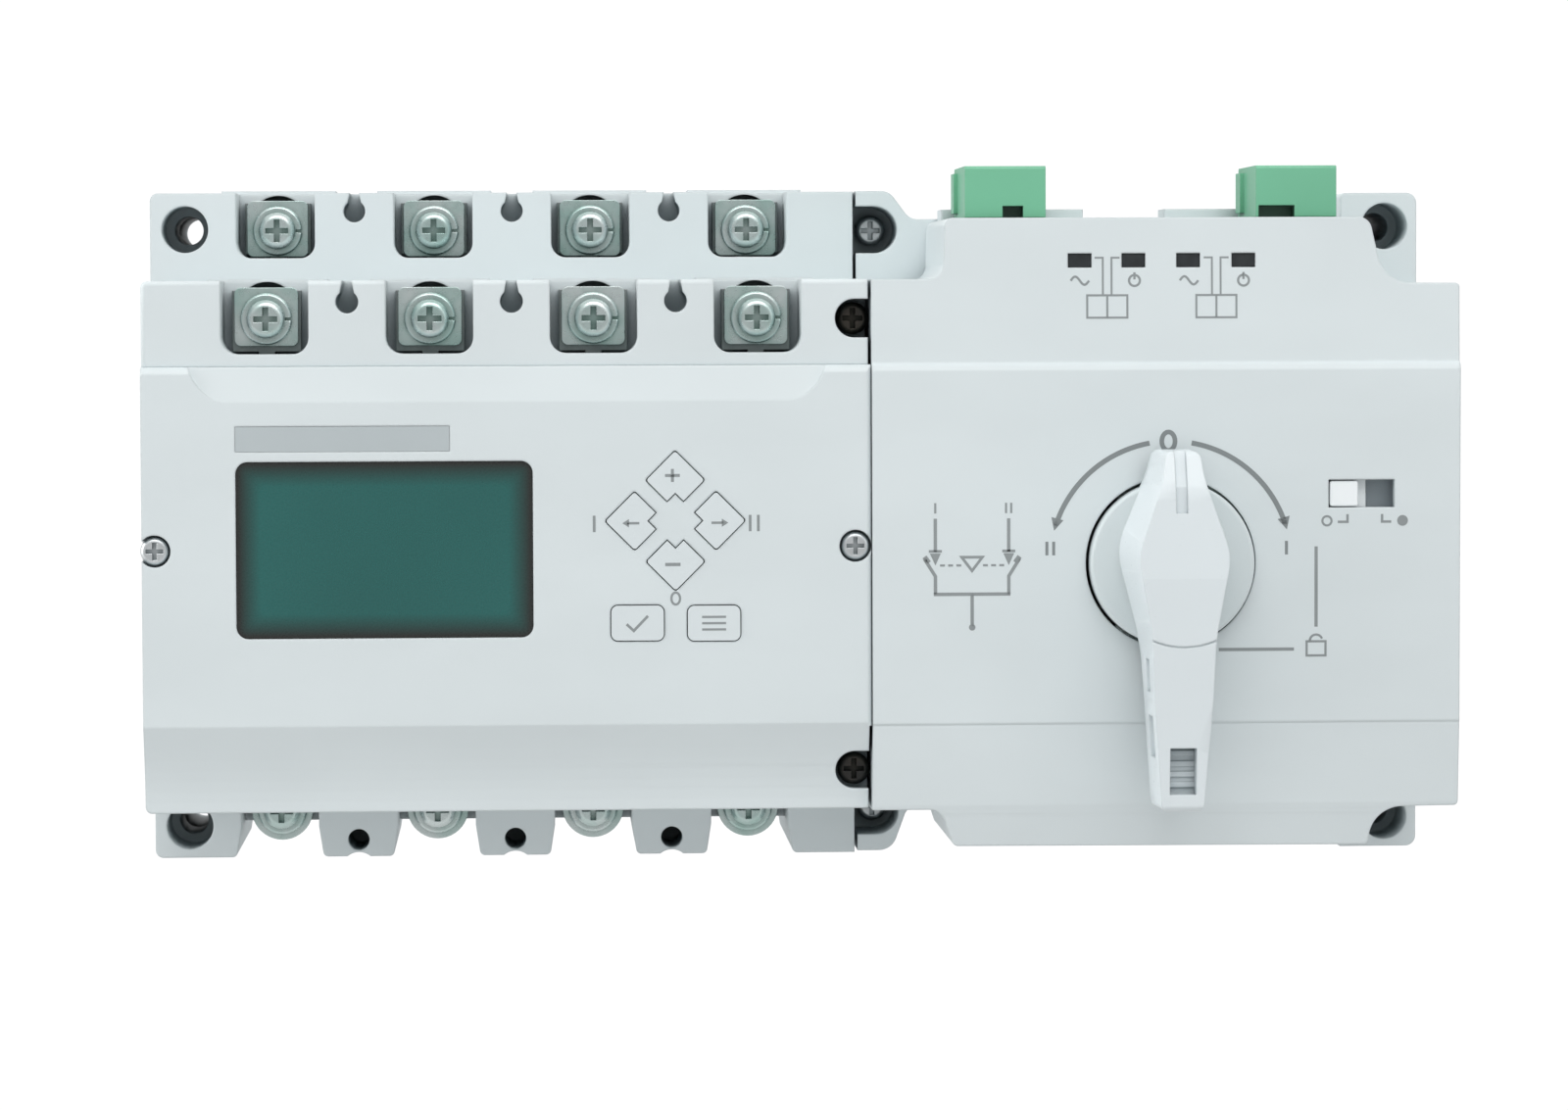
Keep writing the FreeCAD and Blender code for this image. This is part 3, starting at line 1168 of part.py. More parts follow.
NODES = {
    "rear_deck_base": rear_deck_base,
    "rear_deck_cover": rear_deck_cover,
    "front_deck_base": front_deck_base,
    "front_deck_cover": front_deck_cover,
    "rear_line_terminals": rear_line_terminals,
    "front_line_terminals": front_line_terminals,
    "load_terminals": load_terminals,
    "load_links": load_links,
    "fixed_contact_tips": fixed_contact_tips,
    "terminal_screws": terminal_screws,
    "terminal_washers": terminal_washers,
    "rear_contact_shaft": lambda: contact_shaft(REAR_SHAFT),
    "front_contact_shaft": lambda: contact_shaft(FRONT_SHAFT),
    "rear_moving_blades": lambda: moving_blades(REAR_SHAFT),
    "front_moving_blades": lambda: moving_blades(FRONT_SHAFT),
    "rear_blade_springs": lambda: blade_springs(REAR_SHAFT),
    "front_blade_springs": lambda: blade_springs(FRONT_SHAFT),
    "rear_arc_chutes": lambda: arc_chutes(REAR_SHAFT),
    "front_arc_chutes": lambda: arc_chutes(FRONT_SHAFT),
    "rear_shaft_pinion": lambda: shaft_pinion(REAR_SHAFT, True),
    "front_shaft_pinion": lambda: shaft_pinion(FRONT_SHAFT, False),
    "shaft_bushes": shaft_bushes,
    "deck_bolts": deck_bolts,
    "controller_cover": controller_cover,
    "lcd_window": lcd_window,
    "lcd_module": lcd_module,
    "controller_pcb": controller_pcb,
    "tact_switches": tact_switches,
    "name_plate": name_plate,
    "cover_screws": cover_screws,
    "seam_screws": seam_screws,
    "drive_base": drive_base,
    "drive_cover": drive_cover,
    "mechanism_plates": mechanism_plates,
    "plate_spacers": plate_spacers,
    "handle_shaft": handle_shaft,
    "handle_grip": handle_grip,
    "handle_set_screw": handle_set_screw,
    "padlock_slide": padlock_slide,
    "main_gear": main_gear,
    "position_cam": position_cam,
    "drive_motor": drive_motor,
    "motor_gearbox": motor_gearbox,
    "motor_pinion": motor_pinion,
    "rack_slider": rack_slider,
    "rack_guide": rack_guide,
    "limit_switches": limit_switches,
    "drive_pcb": drive_pcb,
    "led_lenses": led_lenses,
    "connector_headers": connector_headers,
    "connector_plug_left": lambda: connector_plug("left"),
    "connector_plug_right": lambda: connector_plug("right"),
    "selector_knob": selector_knob,
    "selector_switch": selector_switch,
}
for key_name in list(ARROW_KEYS) + list(ROUND_KEYS):
    NODES[key_name] = lambda chosen=key_name: key(chosen)


os.makedirs("parts", exist_ok=True)
for node_name, make in NODES.items():
    make().exportStep("parts/" + node_name + ".step")
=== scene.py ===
import json
import math

import bmesh
import bpy
from mathutils import Matrix, Vector
from mathutils.bvhtree import BVHTree


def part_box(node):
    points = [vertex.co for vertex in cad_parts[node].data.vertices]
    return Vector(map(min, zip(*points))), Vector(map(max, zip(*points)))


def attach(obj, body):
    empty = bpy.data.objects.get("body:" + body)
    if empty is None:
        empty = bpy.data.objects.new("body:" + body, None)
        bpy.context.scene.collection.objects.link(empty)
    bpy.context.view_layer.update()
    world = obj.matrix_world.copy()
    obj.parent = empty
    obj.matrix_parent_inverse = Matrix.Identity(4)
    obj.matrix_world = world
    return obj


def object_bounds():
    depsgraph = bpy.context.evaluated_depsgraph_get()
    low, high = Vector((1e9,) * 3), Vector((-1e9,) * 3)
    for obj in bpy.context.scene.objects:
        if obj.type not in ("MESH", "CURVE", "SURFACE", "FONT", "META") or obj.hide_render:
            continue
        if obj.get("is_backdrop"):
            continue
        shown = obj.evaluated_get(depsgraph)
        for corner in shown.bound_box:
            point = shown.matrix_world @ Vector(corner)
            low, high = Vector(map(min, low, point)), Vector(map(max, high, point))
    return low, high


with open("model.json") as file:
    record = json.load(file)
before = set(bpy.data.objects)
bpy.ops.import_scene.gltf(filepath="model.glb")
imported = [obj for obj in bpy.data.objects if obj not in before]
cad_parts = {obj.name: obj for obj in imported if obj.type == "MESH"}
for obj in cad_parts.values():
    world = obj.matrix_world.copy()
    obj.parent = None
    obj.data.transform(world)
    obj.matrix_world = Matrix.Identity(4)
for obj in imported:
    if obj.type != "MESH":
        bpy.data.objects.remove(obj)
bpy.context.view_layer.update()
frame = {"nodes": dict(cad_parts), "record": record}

MM = 0.001
FLOOR_SIZE = 60
FLOOR_DROP = 0.22
WHITE_SEEN = 1.05
ROOM_STRENGTH = 0.88
DIAL_PROUD = 3.9
DIAL_BLEND = 0.5
ARC_RADIUS = 22.3
ARC_START = 10
ARC_END = 72
ARROW_AT = 74.5
RECORD = frame["record"]
NODES = frame["nodes"]
SLOT_OF = {part["node"]: part["material_slot"] for part in RECORD["subparts"]}


def node_box(node):
    """Lowest and highest corner of a CAD node in millimetres."""
    low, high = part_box(node)
    return Vector(low) / MM, Vector(high) / MM


def joint(name):
    return next(j for j in RECORD["behaviour"]["joints"] if j["name"] == name)


# ---- materials ----
def new_material(name):
    material = bpy.data.materials.new(name)
    material.use_nodes = True
    return material, material.node_tree, material.node_tree.nodes["Principled BSDF"]


def add_node(tree, kind, **values):
    node = tree.nodes.new(kind)
    for key, value in values.items():
        if key in node.inputs:
            node.inputs[key].default_value = value
        else:
            setattr(node, key, value)
    return node


def noise(tree, scale, detail=3.0, stretch=(1, 1, 1)):
    """Noise in object space, its scale in features per metre."""
    place = add_node(tree, "ShaderNodeTexCoord")
    mapping = add_node(tree, "ShaderNodeMapping")
    mapping.inputs["Scale"].default_value = stretch
    tree.links.new(place.outputs["Object"], mapping.inputs["Vector"])
    field = add_node(tree, "ShaderNodeTexNoise", Scale=scale, Detail=detail)
    tree.links.new(mapping.outputs["Vector"], field.inputs["Vector"])
    return field


def ramp(tree, source, low, high, stops=(0.3, 0.7)):
    """Colour ramp between two colours over a 0 to 1 value."""
    node = tree.nodes.new("ShaderNodeValToRGB")
    node.color_ramp.elements[0].position = stops[0]
    node.color_ramp.elements[1].position = stops[1]
    node.color_ramp.elements[0].color = (*low, 1)
    node.color_ramp.elements[1].color = (*high, 1)
    tree.links.new(source, node.inputs["Fac"])
    return node


def spread(tree, source, low, high):
    node = add_node(tree, "ShaderNodeMapRange")
    node.inputs["To Min"].default_value = low
    node.inputs["To Max"].default_value = high
    tree.links.new(source, node.inputs["Value"])
    return node


def bump(tree, shader, height, strength, distance, round_edge=0.0):
    """Fine relief; round_edge is the radius in metres that worn or moulded edges appear to have."""
    node = add_node(tree, "ShaderNodeBump", Strength=strength, Distance=distance)
    tree.links.new(height, node.inputs["Height"])
    tree.links.new(node.outputs["Normal"], shader.inputs["Normal"])
    if round_edge:
        edge = add_node(tree, "ShaderNodeBevel", Radius=round_edge)
        edge.samples = 6
        tree.links.new(edge.outputs["Normal"], node.inputs["Normal"])
    return node


def paint_hollow_shade(tree, colour, reach, hollow_shade, stops=(0.04, 0.5)):
    """Darken a colour where the surface is shut in, as deep bores and gaps lose their light."""
    # Painted shade: ambient occlusion multiplies the colour towards the hollow tint in bores, gaps and
    # steps.
    shade = add_node(tree, "ShaderNodeAmbientOcclusion", Distance=reach)
    shade.samples = 12
    factor = ramp(tree, shade.outputs["AO"], hollow_shade, (1, 1, 1), stops)
    mixed = add_node(tree, "ShaderNodeMix", data_type="RGBA", blend_type="MULTIPLY")
    mixed.inputs[0].default_value = 1.0
    tree.links.new(colour, mixed.inputs[6])
    tree.links.new(factor.outputs["Color"], mixed.inputs[7])
    return mixed.outputs[2]


def tone(colour, factor):
    return tuple(min(1.0, c * factor) for c in colour)


def moulded(name, colour, roughness, grain=2600, grain_depth=0.12, vary=0.02, coat=0.0, specular=0.5,
            hollow_shade=None, round_edge=0.0):
    """Moulded plastic: faint flow marks in the colour, a fine spark-eroded grain in the surface, and
    painted shade in bores and gaps when a hollow tint is given.
    """
    material, tree, shader = new_material(name)
    flow = noise(tree, 28, 2.0, (1.0, 1.0, 2.2))
    tint = ramp(tree, flow.outputs["Fac"], tone(colour, 1 - vary), tone(colour, 1 + vary))
    surface = tint.outputs["Color"]
    # Painted shade: with a hollow tint, ambient occlusion darkens bores, gaps and steps.
    if hollow_shade:
        surface = paint_hollow_shade(tree, surface, 0.012, hollow_shade, (0.03, 0.42))
    tree.links.new(surface, shader.inputs["Base Color"])
    fine = noise(tree, grain, 2.0)
    rough = spread(tree, fine.outputs["Fac"], roughness - 0.05, roughness + 0.07)
    tree.links.new(rough.outputs["Result"], shader.inputs["Roughness"])
    bump(tree, shader, fine.outputs["Fac"], grain_depth, 0.00006, round_edge)
    shader.inputs["Coat Weight"].default_value = coat
    shader.inputs["Specular IOR Level"].default_value = specular
    return material


def metal(name, colour, roughness, tint=None, scale=900, stretch=(1, 1, 1), round_edge=0.0002,
          hollow_shade=(0.34, 0.40, 0.38)):
    """Plated or machined metal with uneven colour, fine scratches, a varied shine and painted shade in
    its recesses.
    """
    material, tree, shader = new_material(name)
    shader.inputs["Metallic"].default_value = 1.0
    cloud = noise(tree, 130, 3.0)
    hue = ramp(tree, cloud.outputs["Fac"], colour, tint or tone(colour, 0.86), (0.35, 0.68))
    # Painted shade: ambient occlusion darkens the colour in screw recesses and slots.
    hollow_shaded_colour = paint_hollow_shade(tree, hue.outputs["Color"], 0.004, hollow_shade, (0.2, 0.8))
    tree.links.new(hollow_shaded_colour, shader.inputs["Base Color"])
    marks = noise(tree, scale, 4.0, stretch)
    rough = spread(tree, marks.outputs["Fac"], roughness - 0.08, roughness + 0.12)
    tree.links.new(rough.outputs["Result"], shader.inputs["Roughness"])
    bump(tree, shader, marks.outputs["Fac"], 0.1, 0.00004, round_edge)
    return material


def display_material(name, centre, edge, low, high):
    """Liquid-crystal window: darker towards its edges as a painted inner shadow, with a faint dot
    texture.
    """
    material, tree, shader = new_material(name)
    place = add_node(tree, "ShaderNodeTexCoord")
    split = add_node(tree, "ShaderNodeSeparateXYZ")
    tree.links.new(place.outputs["Object"], split.inputs["Vector"])
    edges = []
    for axis, index in (("X", 0), ("Z", 2)):
        for bound, sign in ((low[index], 1), (high[index], -1)):
            away = add_node(tree, "ShaderNodeMath", operation="MULTIPLY_ADD")
            tree.links.new(split.outputs[axis], away.inputs[0])
            away.inputs[1].default_value = sign
            away.inputs[2].default_value = -sign * bound * MM
            edges.append(away)
    nearest = edges[0].outputs[0]
    for other in edges[1:]:
        least = add_node(tree, "ShaderNodeMath", operation="SMOOTH_MIN")
        least.inputs[2].default_value = 0.002
        tree.links.new(nearest, least.inputs[0])
        tree.links.new(other.outputs[0], least.inputs[1])
        nearest = least.outputs[0]
    # Painted inner shadow: the edge colour blends in within about 4 mm of the window's rim.
    inner_shadow_fade = add_node(tree, "ShaderNodeMapRange")
    inner_shadow_fade.inputs["From Min"].default_value = 0.0004
    inner_shadow_fade.inputs["From Max"].default_value = 0.0044
    tree.links.new(nearest, inner_shadow_fade.inputs["Value"])
    cloud = noise(tree, 26, 2.0)
    mixed = add_node(tree, "ShaderNodeMix", data_type="RGBA")
    tree.links.new(inner_shadow_fade.outputs["Result"], mixed.inputs[0])
    mixed.inputs[6].default_value = (*edge, 1)
    inner = ramp(tree, cloud.outputs["Fac"], tone(centre, 0.94), tone(centre, 1.06))
    tree.links.new(inner.outputs["Color"], mixed.inputs[7])
    tree.links.new(mixed.outputs[2], shader.inputs["Base Color"])
    fine = noise(tree, 3000, 1.0)
    rough = spread(tree, fine.outputs["Fac"], 0.22, 0.34)
    tree.links.new(rough.outputs["Result"], shader.inputs["Roughness"])
    bump(tree, shader, fine.outputs["Fac"], 0.03, 0.00003)
    return material


def clear_material(name, colour):
    """Smoked clear moulding seen over a dark inside."""
    material, tree, shader = new_material(name)
    cloud = noise(tree, 400, 2.0)
    tint = ramp(tree, cloud.outputs["Fac"], tone(colour, 0.8), tone(colour, 1.25))
    tree.links.new(tint.outputs["Color"], shader.inputs["Base Color"])
    rough = spread(tree, cloud.outputs["Fac"], 0.12, 0.22)
    tree.links.new(rough.outputs["Result"], shader.inputs["Roughness"])
    bump(tree, shader, cloud.outputs["Fac"], 0.05, 0.00005)
    return material


def board_material(name):
    """Lacquered circuit board with a faint weave and copper areas under the lacquer."""
    material, tree, shader = new_material(name)
    traces = noise(tree, 260, 0.0, (1, 1, 0.3))
    green = ramp(tree, traces.outputs["Fac"], (0.012, 0.10, 0.045), (0.03, 0.2, 0.09), (0.48, 0.53))
    tree.links.new(green.outputs["Color"], shader.inputs["Base Color"])
    rough = spread(tree, traces.outputs["Fac"], 0.25, 0.4)
    tree.links.new(rough.outputs["Result"], shader.inputs["Roughness"])
    bump(tree, shader, traces.outputs["Fac"], 0.2, 0.00005)
    return material


def handle_material(name, grip, dial):
    """White handle moulding; the dial disc under the grip takes the housing's grey."""
    material, tree, shader = new_material(name)
    dial_front = node_box("drive_cover")[0].y - DIAL_PROUD
    place = add_node(tree, "ShaderNodeTexCoord")
    split = add_node(tree, "ShaderNodeSeparateXYZ")
    tree.links.new(place.outputs["Object"], split.inputs["Vector"])
    rise = add_node(tree, "ShaderNodeMapRange")
    rise.inputs["From Min"].default_value = dial_front * MM
    rise.inputs["From Max"].default_value = (dial_front - DIAL_BLEND) * MM
    tree.links.new(split.outputs["Y"], rise.inputs["Value"])
    flow = noise(tree, 40, 2.0, (1.0, 1.0, 0.5))
    upper = ramp(tree, flow.outputs["Fac"], tone(grip, 0.985), tone(grip, 1.015))
    mixed = add_node(tree, "ShaderNodeMix", data_type="RGBA")
    tree.links.new(rise.outputs["Result"], mixed.inputs[0])
    mixed.inputs[6].default_value = (*dial, 1)
    tree.links.new(upper.outputs["Color"], mixed.inputs[7])
    # Painted shade: ambient occlusion darkens the handle's gaps, slots and padlock window.
    shaded = paint_hollow_shade(tree, mixed.outputs[2], 0.005, (0.42, 0.46, 0.48))
    tree.links.new(shaded, shader.inputs["Base Color"])
    fine = noise(tree, 1800, 2.0)
    rough = spread(tree, fine.outputs["Fac"], 0.24, 0.36)
    tree.links.new(rough.outputs["Result"], shader.inputs["Roughness"])
    bump(tree, shader, fine.outputs["Fac"], 0.04, 0.00005, 0.0004)
    shader.inputs["Coat Weight"].default_value = 0.05
    shader.inputs["Specular IOR Level"].default_value = 0.3
    return material


def slot_material(name, near_knob_light, far_end_shade, low, high):
    """Smooth plastic at the bottom of a slide slot, with a painted shade gradient along the slot from a
    tint by the knob to a tint at the far end.
    """
    material, tree, shader = new_material(name)
    place = add_node(tree, "ShaderNodeTexCoord")
    split = add_node(tree, "ShaderNodeSeparateXYZ")
    tree.links.new(place.outputs["Object"], split.inputs["Vector"])
    along = add_node(tree, "ShaderNodeMapRange")
    along.inputs["From Min"].default_value = low * MM
    along.inputs["From Max"].default_value = high * MM
    tree.links.new(split.outputs["X"], along.inputs["Value"])
    # Painted shade gradient along the slot, from the knob end to the far end.
    tint = ramp(tree, along.outputs["Result"], near_knob_light, far_end_shade, (0.1, 0.9))
    tree.links.new(tint.outputs["Color"], shader.inputs["Base Color"])
    fine = noise(tree, 2600, 2.0)
    rough = spread(tree, fine.outputs["Fac"], 0.35, 0.5)
    tree.links.new(rough.outputs["Result"], shader.inputs["Roughness"])
    bump(tree, shader, fine.outputs["Fac"], 0.06, 0.00005)
    return material


def make_materials():
    low, high = node_box("lcd_window")
    knob_low, knob_high = node_box("selector_knob")
    knob_width = knob_high.x - knob_low.x
    housing = (0.655, 0.712, 0.725)
    # Hollow tints: colours that the painted shade in bores, gaps and recesses darkens towards.
    hollow_shade = (0.27, 0.31, 0.33)
    return {
        "housing_light_grey": moulded("housing", housing, 0.43, hollow_shade=hollow_shade, round_edge=0.0006),
        "handle_white": handle_material("handle_white", (0.70, 0.755, 0.775), (0.61, 0.67, 0.68)),
        "key_film": moulded("key_film", (0.66, 0.715, 0.73), 0.40, 3200, 0.06, 0.01),
        "mid_grey_film": moulded("grey_film", (0.455, 0.505, 0.52), 0.38, 3000, 0.05, 0.04),
        # Second colour: painted inner shadow at the window's edges.
        "display_window": display_material(
            "display_window", (0.015, 0.108, 0.098), (0.018, 0.020, 0.018), low, high),
        "display_module": moulded("display_module", (0.03, 0.13, 0.12), 0.35),
        "circuit_board": board_material("circuit_board"),
        "black_plastic": moulded("black_plastic", (0.018, 0.019, 0.021), 0.42, vary=0.1),
        "insulating_plastic": moulded("insulating_plastic", (0.10, 0.05, 0.035), 0.5, vary=0.12),
        "gear_plastic": moulded("gear_plastic", (0.70, 0.68, 0.60), 0.42, vary=0.03),
        "clear_plastic": clear_material("lamp_lens", (0.022, 0.026, 0.028)),
        "connector_green": moulded("connector_green", (0.165, 0.47, 0.295), 0.36, 2200, 0.06, 0.05, 0.15,
                                   hollow_shade=(0.15, 0.2, 0.2), round_edge=0.0003),
        "plated_copper": metal("plated_copper", (0.42, 0.435, 0.44), 0.36, (0.32, 0.345, 0.35)),
        "silver_alloy": metal("silver_alloy", (0.86, 0.85, 0.82), 0.28),
        "zinc_steel": metal("zinc_steel", (0.66, 0.73, 0.72), 0.27, (0.44, 0.60, 0.56)),
        "spring_steel": metal("spring_steel", (0.46, 0.47, 0.49), 0.3),
        "black_steel": metal("black_steel", (0.045, 0.045, 0.045), 0.38, (0.10, 0.085, 0.07)),
        "aluminium_cast": metal("aluminium_cast", (0.62, 0.63, 0.64), 0.48, scale=500),
        "brass": metal("brass", (0.80, 0.62, 0.30), 0.3, (0.66, 0.48, 0.22)),
        "ink_grey": moulded("ink_grey", (0.26, 0.285, 0.29), 0.5, 4000, 0.03, 0.05),
        "screw_grey": metal("screw_grey", (0.74, 0.77, 0.78), 0.34, hollow_shade=(0.5, 0.53, 0.54)),
        "ink_dark": moulded("ink_dark", (0.215, 0.238, 0.243), 0.5, 4000, 0.03, 0.05),
        "knob_white": moulded("knob_white", (0.86, 0.90, 0.91), 0.35, 2400, 0.05, 0.01),
        "selector_slot": slot_material(
            "selector_slot", (0.34, 0.39, 0.42), (0.34, 0.40, 0.44),
            knob_high.x, knob_high.x + knob_width),
    }


MATERIALS = make_materials()


def soften(obj, width, angle=32):
    """Break the sharp edges of a CAD node as moulding or tumbling does."""
    weld = obj.modifiers.new("weld", "WELD")
    weld.merge_threshold = 0.000004
    bevel = obj.modifiers.new("bevel", "BEVEL")
    bevel.width = width * MM
    bevel.segments = 2
    bevel.limit_method = "ANGLE"
    bevel.angle_limit = math.radians(angle)
    bevel.harden_normals = True
    bevel.use_clamp_overlap = True


EDGE_WIDTH = {
    "housing_light_grey": 0.30, "handle_white": 0.35, "key_film": 0.10, "zinc_steel": 0.12,
    "connector_green": 0.18, "black_steel": 0.12, "mid_grey_film": 0.0, "display_window": 0.0,
}
NODE_EDGE = {"handle_grip": 0.9, "drive_cover": 0.7, "controller_cover": 0.4}
NODE_FINISH = {
    "selector_knob": "knob_white", "selector_switch": "selector_slot", "cover_screws": "screw_grey",
}


def dress_nodes():
    for name, obj in NODES.items():
        slot = SLOT_OF[name]
        obj.data.materials.clear()
        obj.data.materials.append(MATERIALS[NODE_FINISH.get(name, slot)])
        width = NODE_EDGE.get(name, EDGE_WIDTH.get(slot, 0.08))
        if width:
            soften(obj, width)


# ---- printed marks ----
class Sheet:
    """Collects printed marks laid on the front of a CAD node, in millimetres."""

    def __init__(self, node, thickness=0.03):
        self.mesh = bmesh.new()
        self.thickness = thickness
        surface = NODES[node].data
        corners = [v.co.copy() for v in surface.vertices]
        self.under = BVHTree.FromPolygons(corners, [tuple(p.vertices) for p in surface.polygons])

    def vert(self, x, z, lift):
        hit = self.under.ray_cast(Vector((x * MM, -1, z * MM)), Vector((0, 1, 0)))
        return self.mesh.verts.new((x * MM, hit[0].y - lift * MM, z * MM))

    def polygon(self, points):
        """Filled outline, given anticlockwise as seen from the front."""
        near = [self.vert(x, z, self.thickness) for x, z in points]
        far = [self.vert(x, z, 0) for x, z in points]
        count = len(points)
        self.mesh.faces.new(near)
        for i in range(count):
            j = (i + 1) % count
            self.mesh.faces.new((near[j], near[i], far[i], far[j]))

    def line(self, points, width, closed=False):
        """Ribbon of even width with mitred corners."""
        count = len(points)
        path = [Vector(p) for p in points]
        left, right = [], []
        for i, here in enumerate(path):
            before = path[i - 1] if closed or i > 0 else None
            after = path[(i + 1) % count] if closed or i < count - 1 else None
            into = (here - before).normalized() if before is not None else None
            out = (after - here).normalized() if after is not None else None
            into = into or out
            out = out or into
            normal_in = Vector((-into.y, into.x))
            normal_out = Vector((-out.y, out.x))
            normal = (normal_in + normal_out).normalized()
            reach = width / 2 / max(0.35, normal.dot(normal_out))
            left.append(here + normal * reach)
            right.append(here - normal * reach)
        last = count if closed else count - 1
        for i in range(last):
            j = (i + 1) % count
            self.quad(right[i], right[j], left[j], left[i], i == 0 and not closed,
                      i == last - 1 and not closed)

    def quad(self, a, b, c, d, cap_start, cap_end):
        near = [self.vert(p.x, p.y, self.thickness) for p in (a, b, c, d)]
        far = [self.vert(p.x, p.y, 0) for p in (a, b, c, d)]
        self.mesh.faces.new(near)
        sides = [(0, 1), (2, 3)]
        if cap_end:
            sides.append((1, 2))
        if cap_start:
            sides.append((3, 0))
        for i, j in sides:
            self.mesh.faces.new((near[j], near[i], far[i], far[j]))

    def circle(self, x, z, radius, width, start=0.0, end=360.0, steps=48):
        """Ring or arc, angles from +X towards +Z in degrees."""
        whole = abs(end - start) >= 360
        count = steps if whole else steps + 1
        points = []
        for i in range(count):
            a = math.radians(start + (end - start) * i / steps)
            points.append((x + radius * math.cos(a), z + radius * math.sin(a)))
        self.line(points, width, whole)

    def disc(self, x, z, radius, steps=20):
        turn = [2 * math.pi * i / steps for i in range(steps)]
        self.polygon([(x + radius * math.cos(a), z + radius * math.sin(a)) for a in turn])

    def zero(self, x, z, height, width):
        points = []
        for i in range(28):
            a = 2 * math.pi * i / 28
            points.append((x + height * 0.36 * math.cos(a), z + height * 0.5 * math.sin(a)))
        self.line(points, width, True)

    def bars(self, x, z, height, width, count):
        """Roman one or two."""
        for i in range(count):
            offset = (i - (count - 1) / 2) * height * 0.5
            self.line([(x + offset, z - height / 2), (x + offset, z + height / 2)], width)

    def finish(self, name, body, ink="ink_grey"):
        bmesh.ops.remove_doubles(self.mesh, verts=self.mesh.verts, dist=1e-7)
        bmesh.ops.recalc_face_normals(self.mesh, faces=self.mesh.faces)
        data = bpy.data.meshes.new(name)
        self.mesh.to_mesh(data)
        self.mesh.free()
        obj = bpy.data.objects.new(name, data)
        bpy.context.scene.collection.objects.link(obj)
        data.materials.append(MATERIALS[ink])
        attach(obj, body)
        return obj


def arrow_head(sheet, x, z, angle, length, half):
    """Solid triangle with its tip at x, z, pointing along the angle in degrees."""
    a = math.radians(angle)
    ahead = Vector((math.cos(a), math.sin(a)))
    aside = Vector((-ahead.y, ahead.x))
    tip = Vector((x, z))
    back = tip - ahead * length
    sheet.polygon([tuple(tip), tuple(back + aside * half), tuple(back - aside * half)])


HANDLE = Vector(joint("handle_turn")["pos_m"]) / MM
DIAL = (HANDLE.x, HANDLE.z)


def dial_marks():
    """Position arc with arrow heads and the 0, I and II marks."""
    sheet = Sheet("drive_cover")
    x, z = DIAL
    for side in (-1, 1):
        first = 90 - side * ARC_START
        last = 90 - side * ARC_END
        sheet.circle(x, z, ARC_RADIUS, 0.92, min(first, last), max(first, last), 30)
        at = 90 - side * ARROW_AT
        a = math.radians(at)
        tip_x, tip_z = x + ARC_RADIUS * math.cos(a), z + ARC_RADIUS * math.sin(a)
        arrow_head(sheet, tip_x, tip_z, at - side * 90, 2.3, 1.15)
    sheet.zero(x - 0.4, z + ARC_RADIUS, 3.4, 0.85)
    sheet.bars(x + 21.4, z + 2.6, 2.5, 0.55, 1)
    sheet.bars(x - 22.2, z + 2.7, 2.5, 0.55, 2)
    sheet.finish("dial_marks", "frame", "ink_dark")


def circuit_marks():
    """One-line diagram of the two sources and the load."""
    sheet = Sheet("drive_cover")
    x, z = DIAL[0] - 36.6, DIAL[1]
    half = 6.75
    width = 0.62
    sheet.line([(x - half, z + 8.3), (x - half, z + 2.2)], width)
    sheet.line([(x + half, z + 8.3), (x + half, z + 2.2)], width)
    for side in (-1, 1):
        sheet.line([(x + side * half - 1.2, z + 2.3), (x + side * half + 1.2, z + 2.3)], 0.5)
        arrow_head(sheet, x + side * half, z - 0.3, -90, 2.2, 1.0)
        sheet.line([(x + side * (half + 2.0), z + 0.9), (x + side * half, z - 2.3),
                    (x + side * half, z - 5.6)], width)
        sheet.line([(x + side * (half + 2.0), z + 1.3), (x + side * (half + 1.2), z + 0.2)], 0.9)
    sheet.line([(x - half - 0.3, z - 5.6), (x + half + 0.3, z - 5.6)], width)
    sheet.line([(x, z - 5.6), (x, z - 11.4)], width)
    sheet.disc(x, z - 11.7, 0.6)
    sheet.line([(x - 1.9, z + 1.2), (x + 1.9, z + 1.2), (x, z - 1.3)], 0.5, True)
    for side in (-1, 1):
        for i in range(3):
            start = x + side * (2.0 + 1.5 * i)
            sheet.line([(start, z - 0.3), (start + side * 0.9, z - 0.3)], 0.4)
    sheet.bars(x + half, z + 10.2, 1.9, 0.4, 2)
    sheet.bars(x - half, z + 10.2, 1.9, 0.4, 1)
    sheet.finish("circuit_marks", "frame")


def padlock_marks():
    """Two lines and an open padlock between the selector and the handle's tail."""
    sheet = Sheet("drive_cover")
    x, z = DIAL[0] + 26.9, DIAL[1]
    sheet.line([(x, z + 2.8), (x, z - 12.0)], 0.6)
    sheet.line([(x - 18.0, z - 16.1), (x - 4.1, z - 16.1)], 0.6)
    half = 1.75
    foot, top = z - 17.3, z - 14.7
    sheet.line([(x - half, foot), (x + half, foot), (x + half, top), (x - half, top)], 0.42, True)
    sheet.circle(x, z - 14.6, 1.15, 0.42, 20, 180, 14)
    sheet.finish("padlock_marks", "frame")


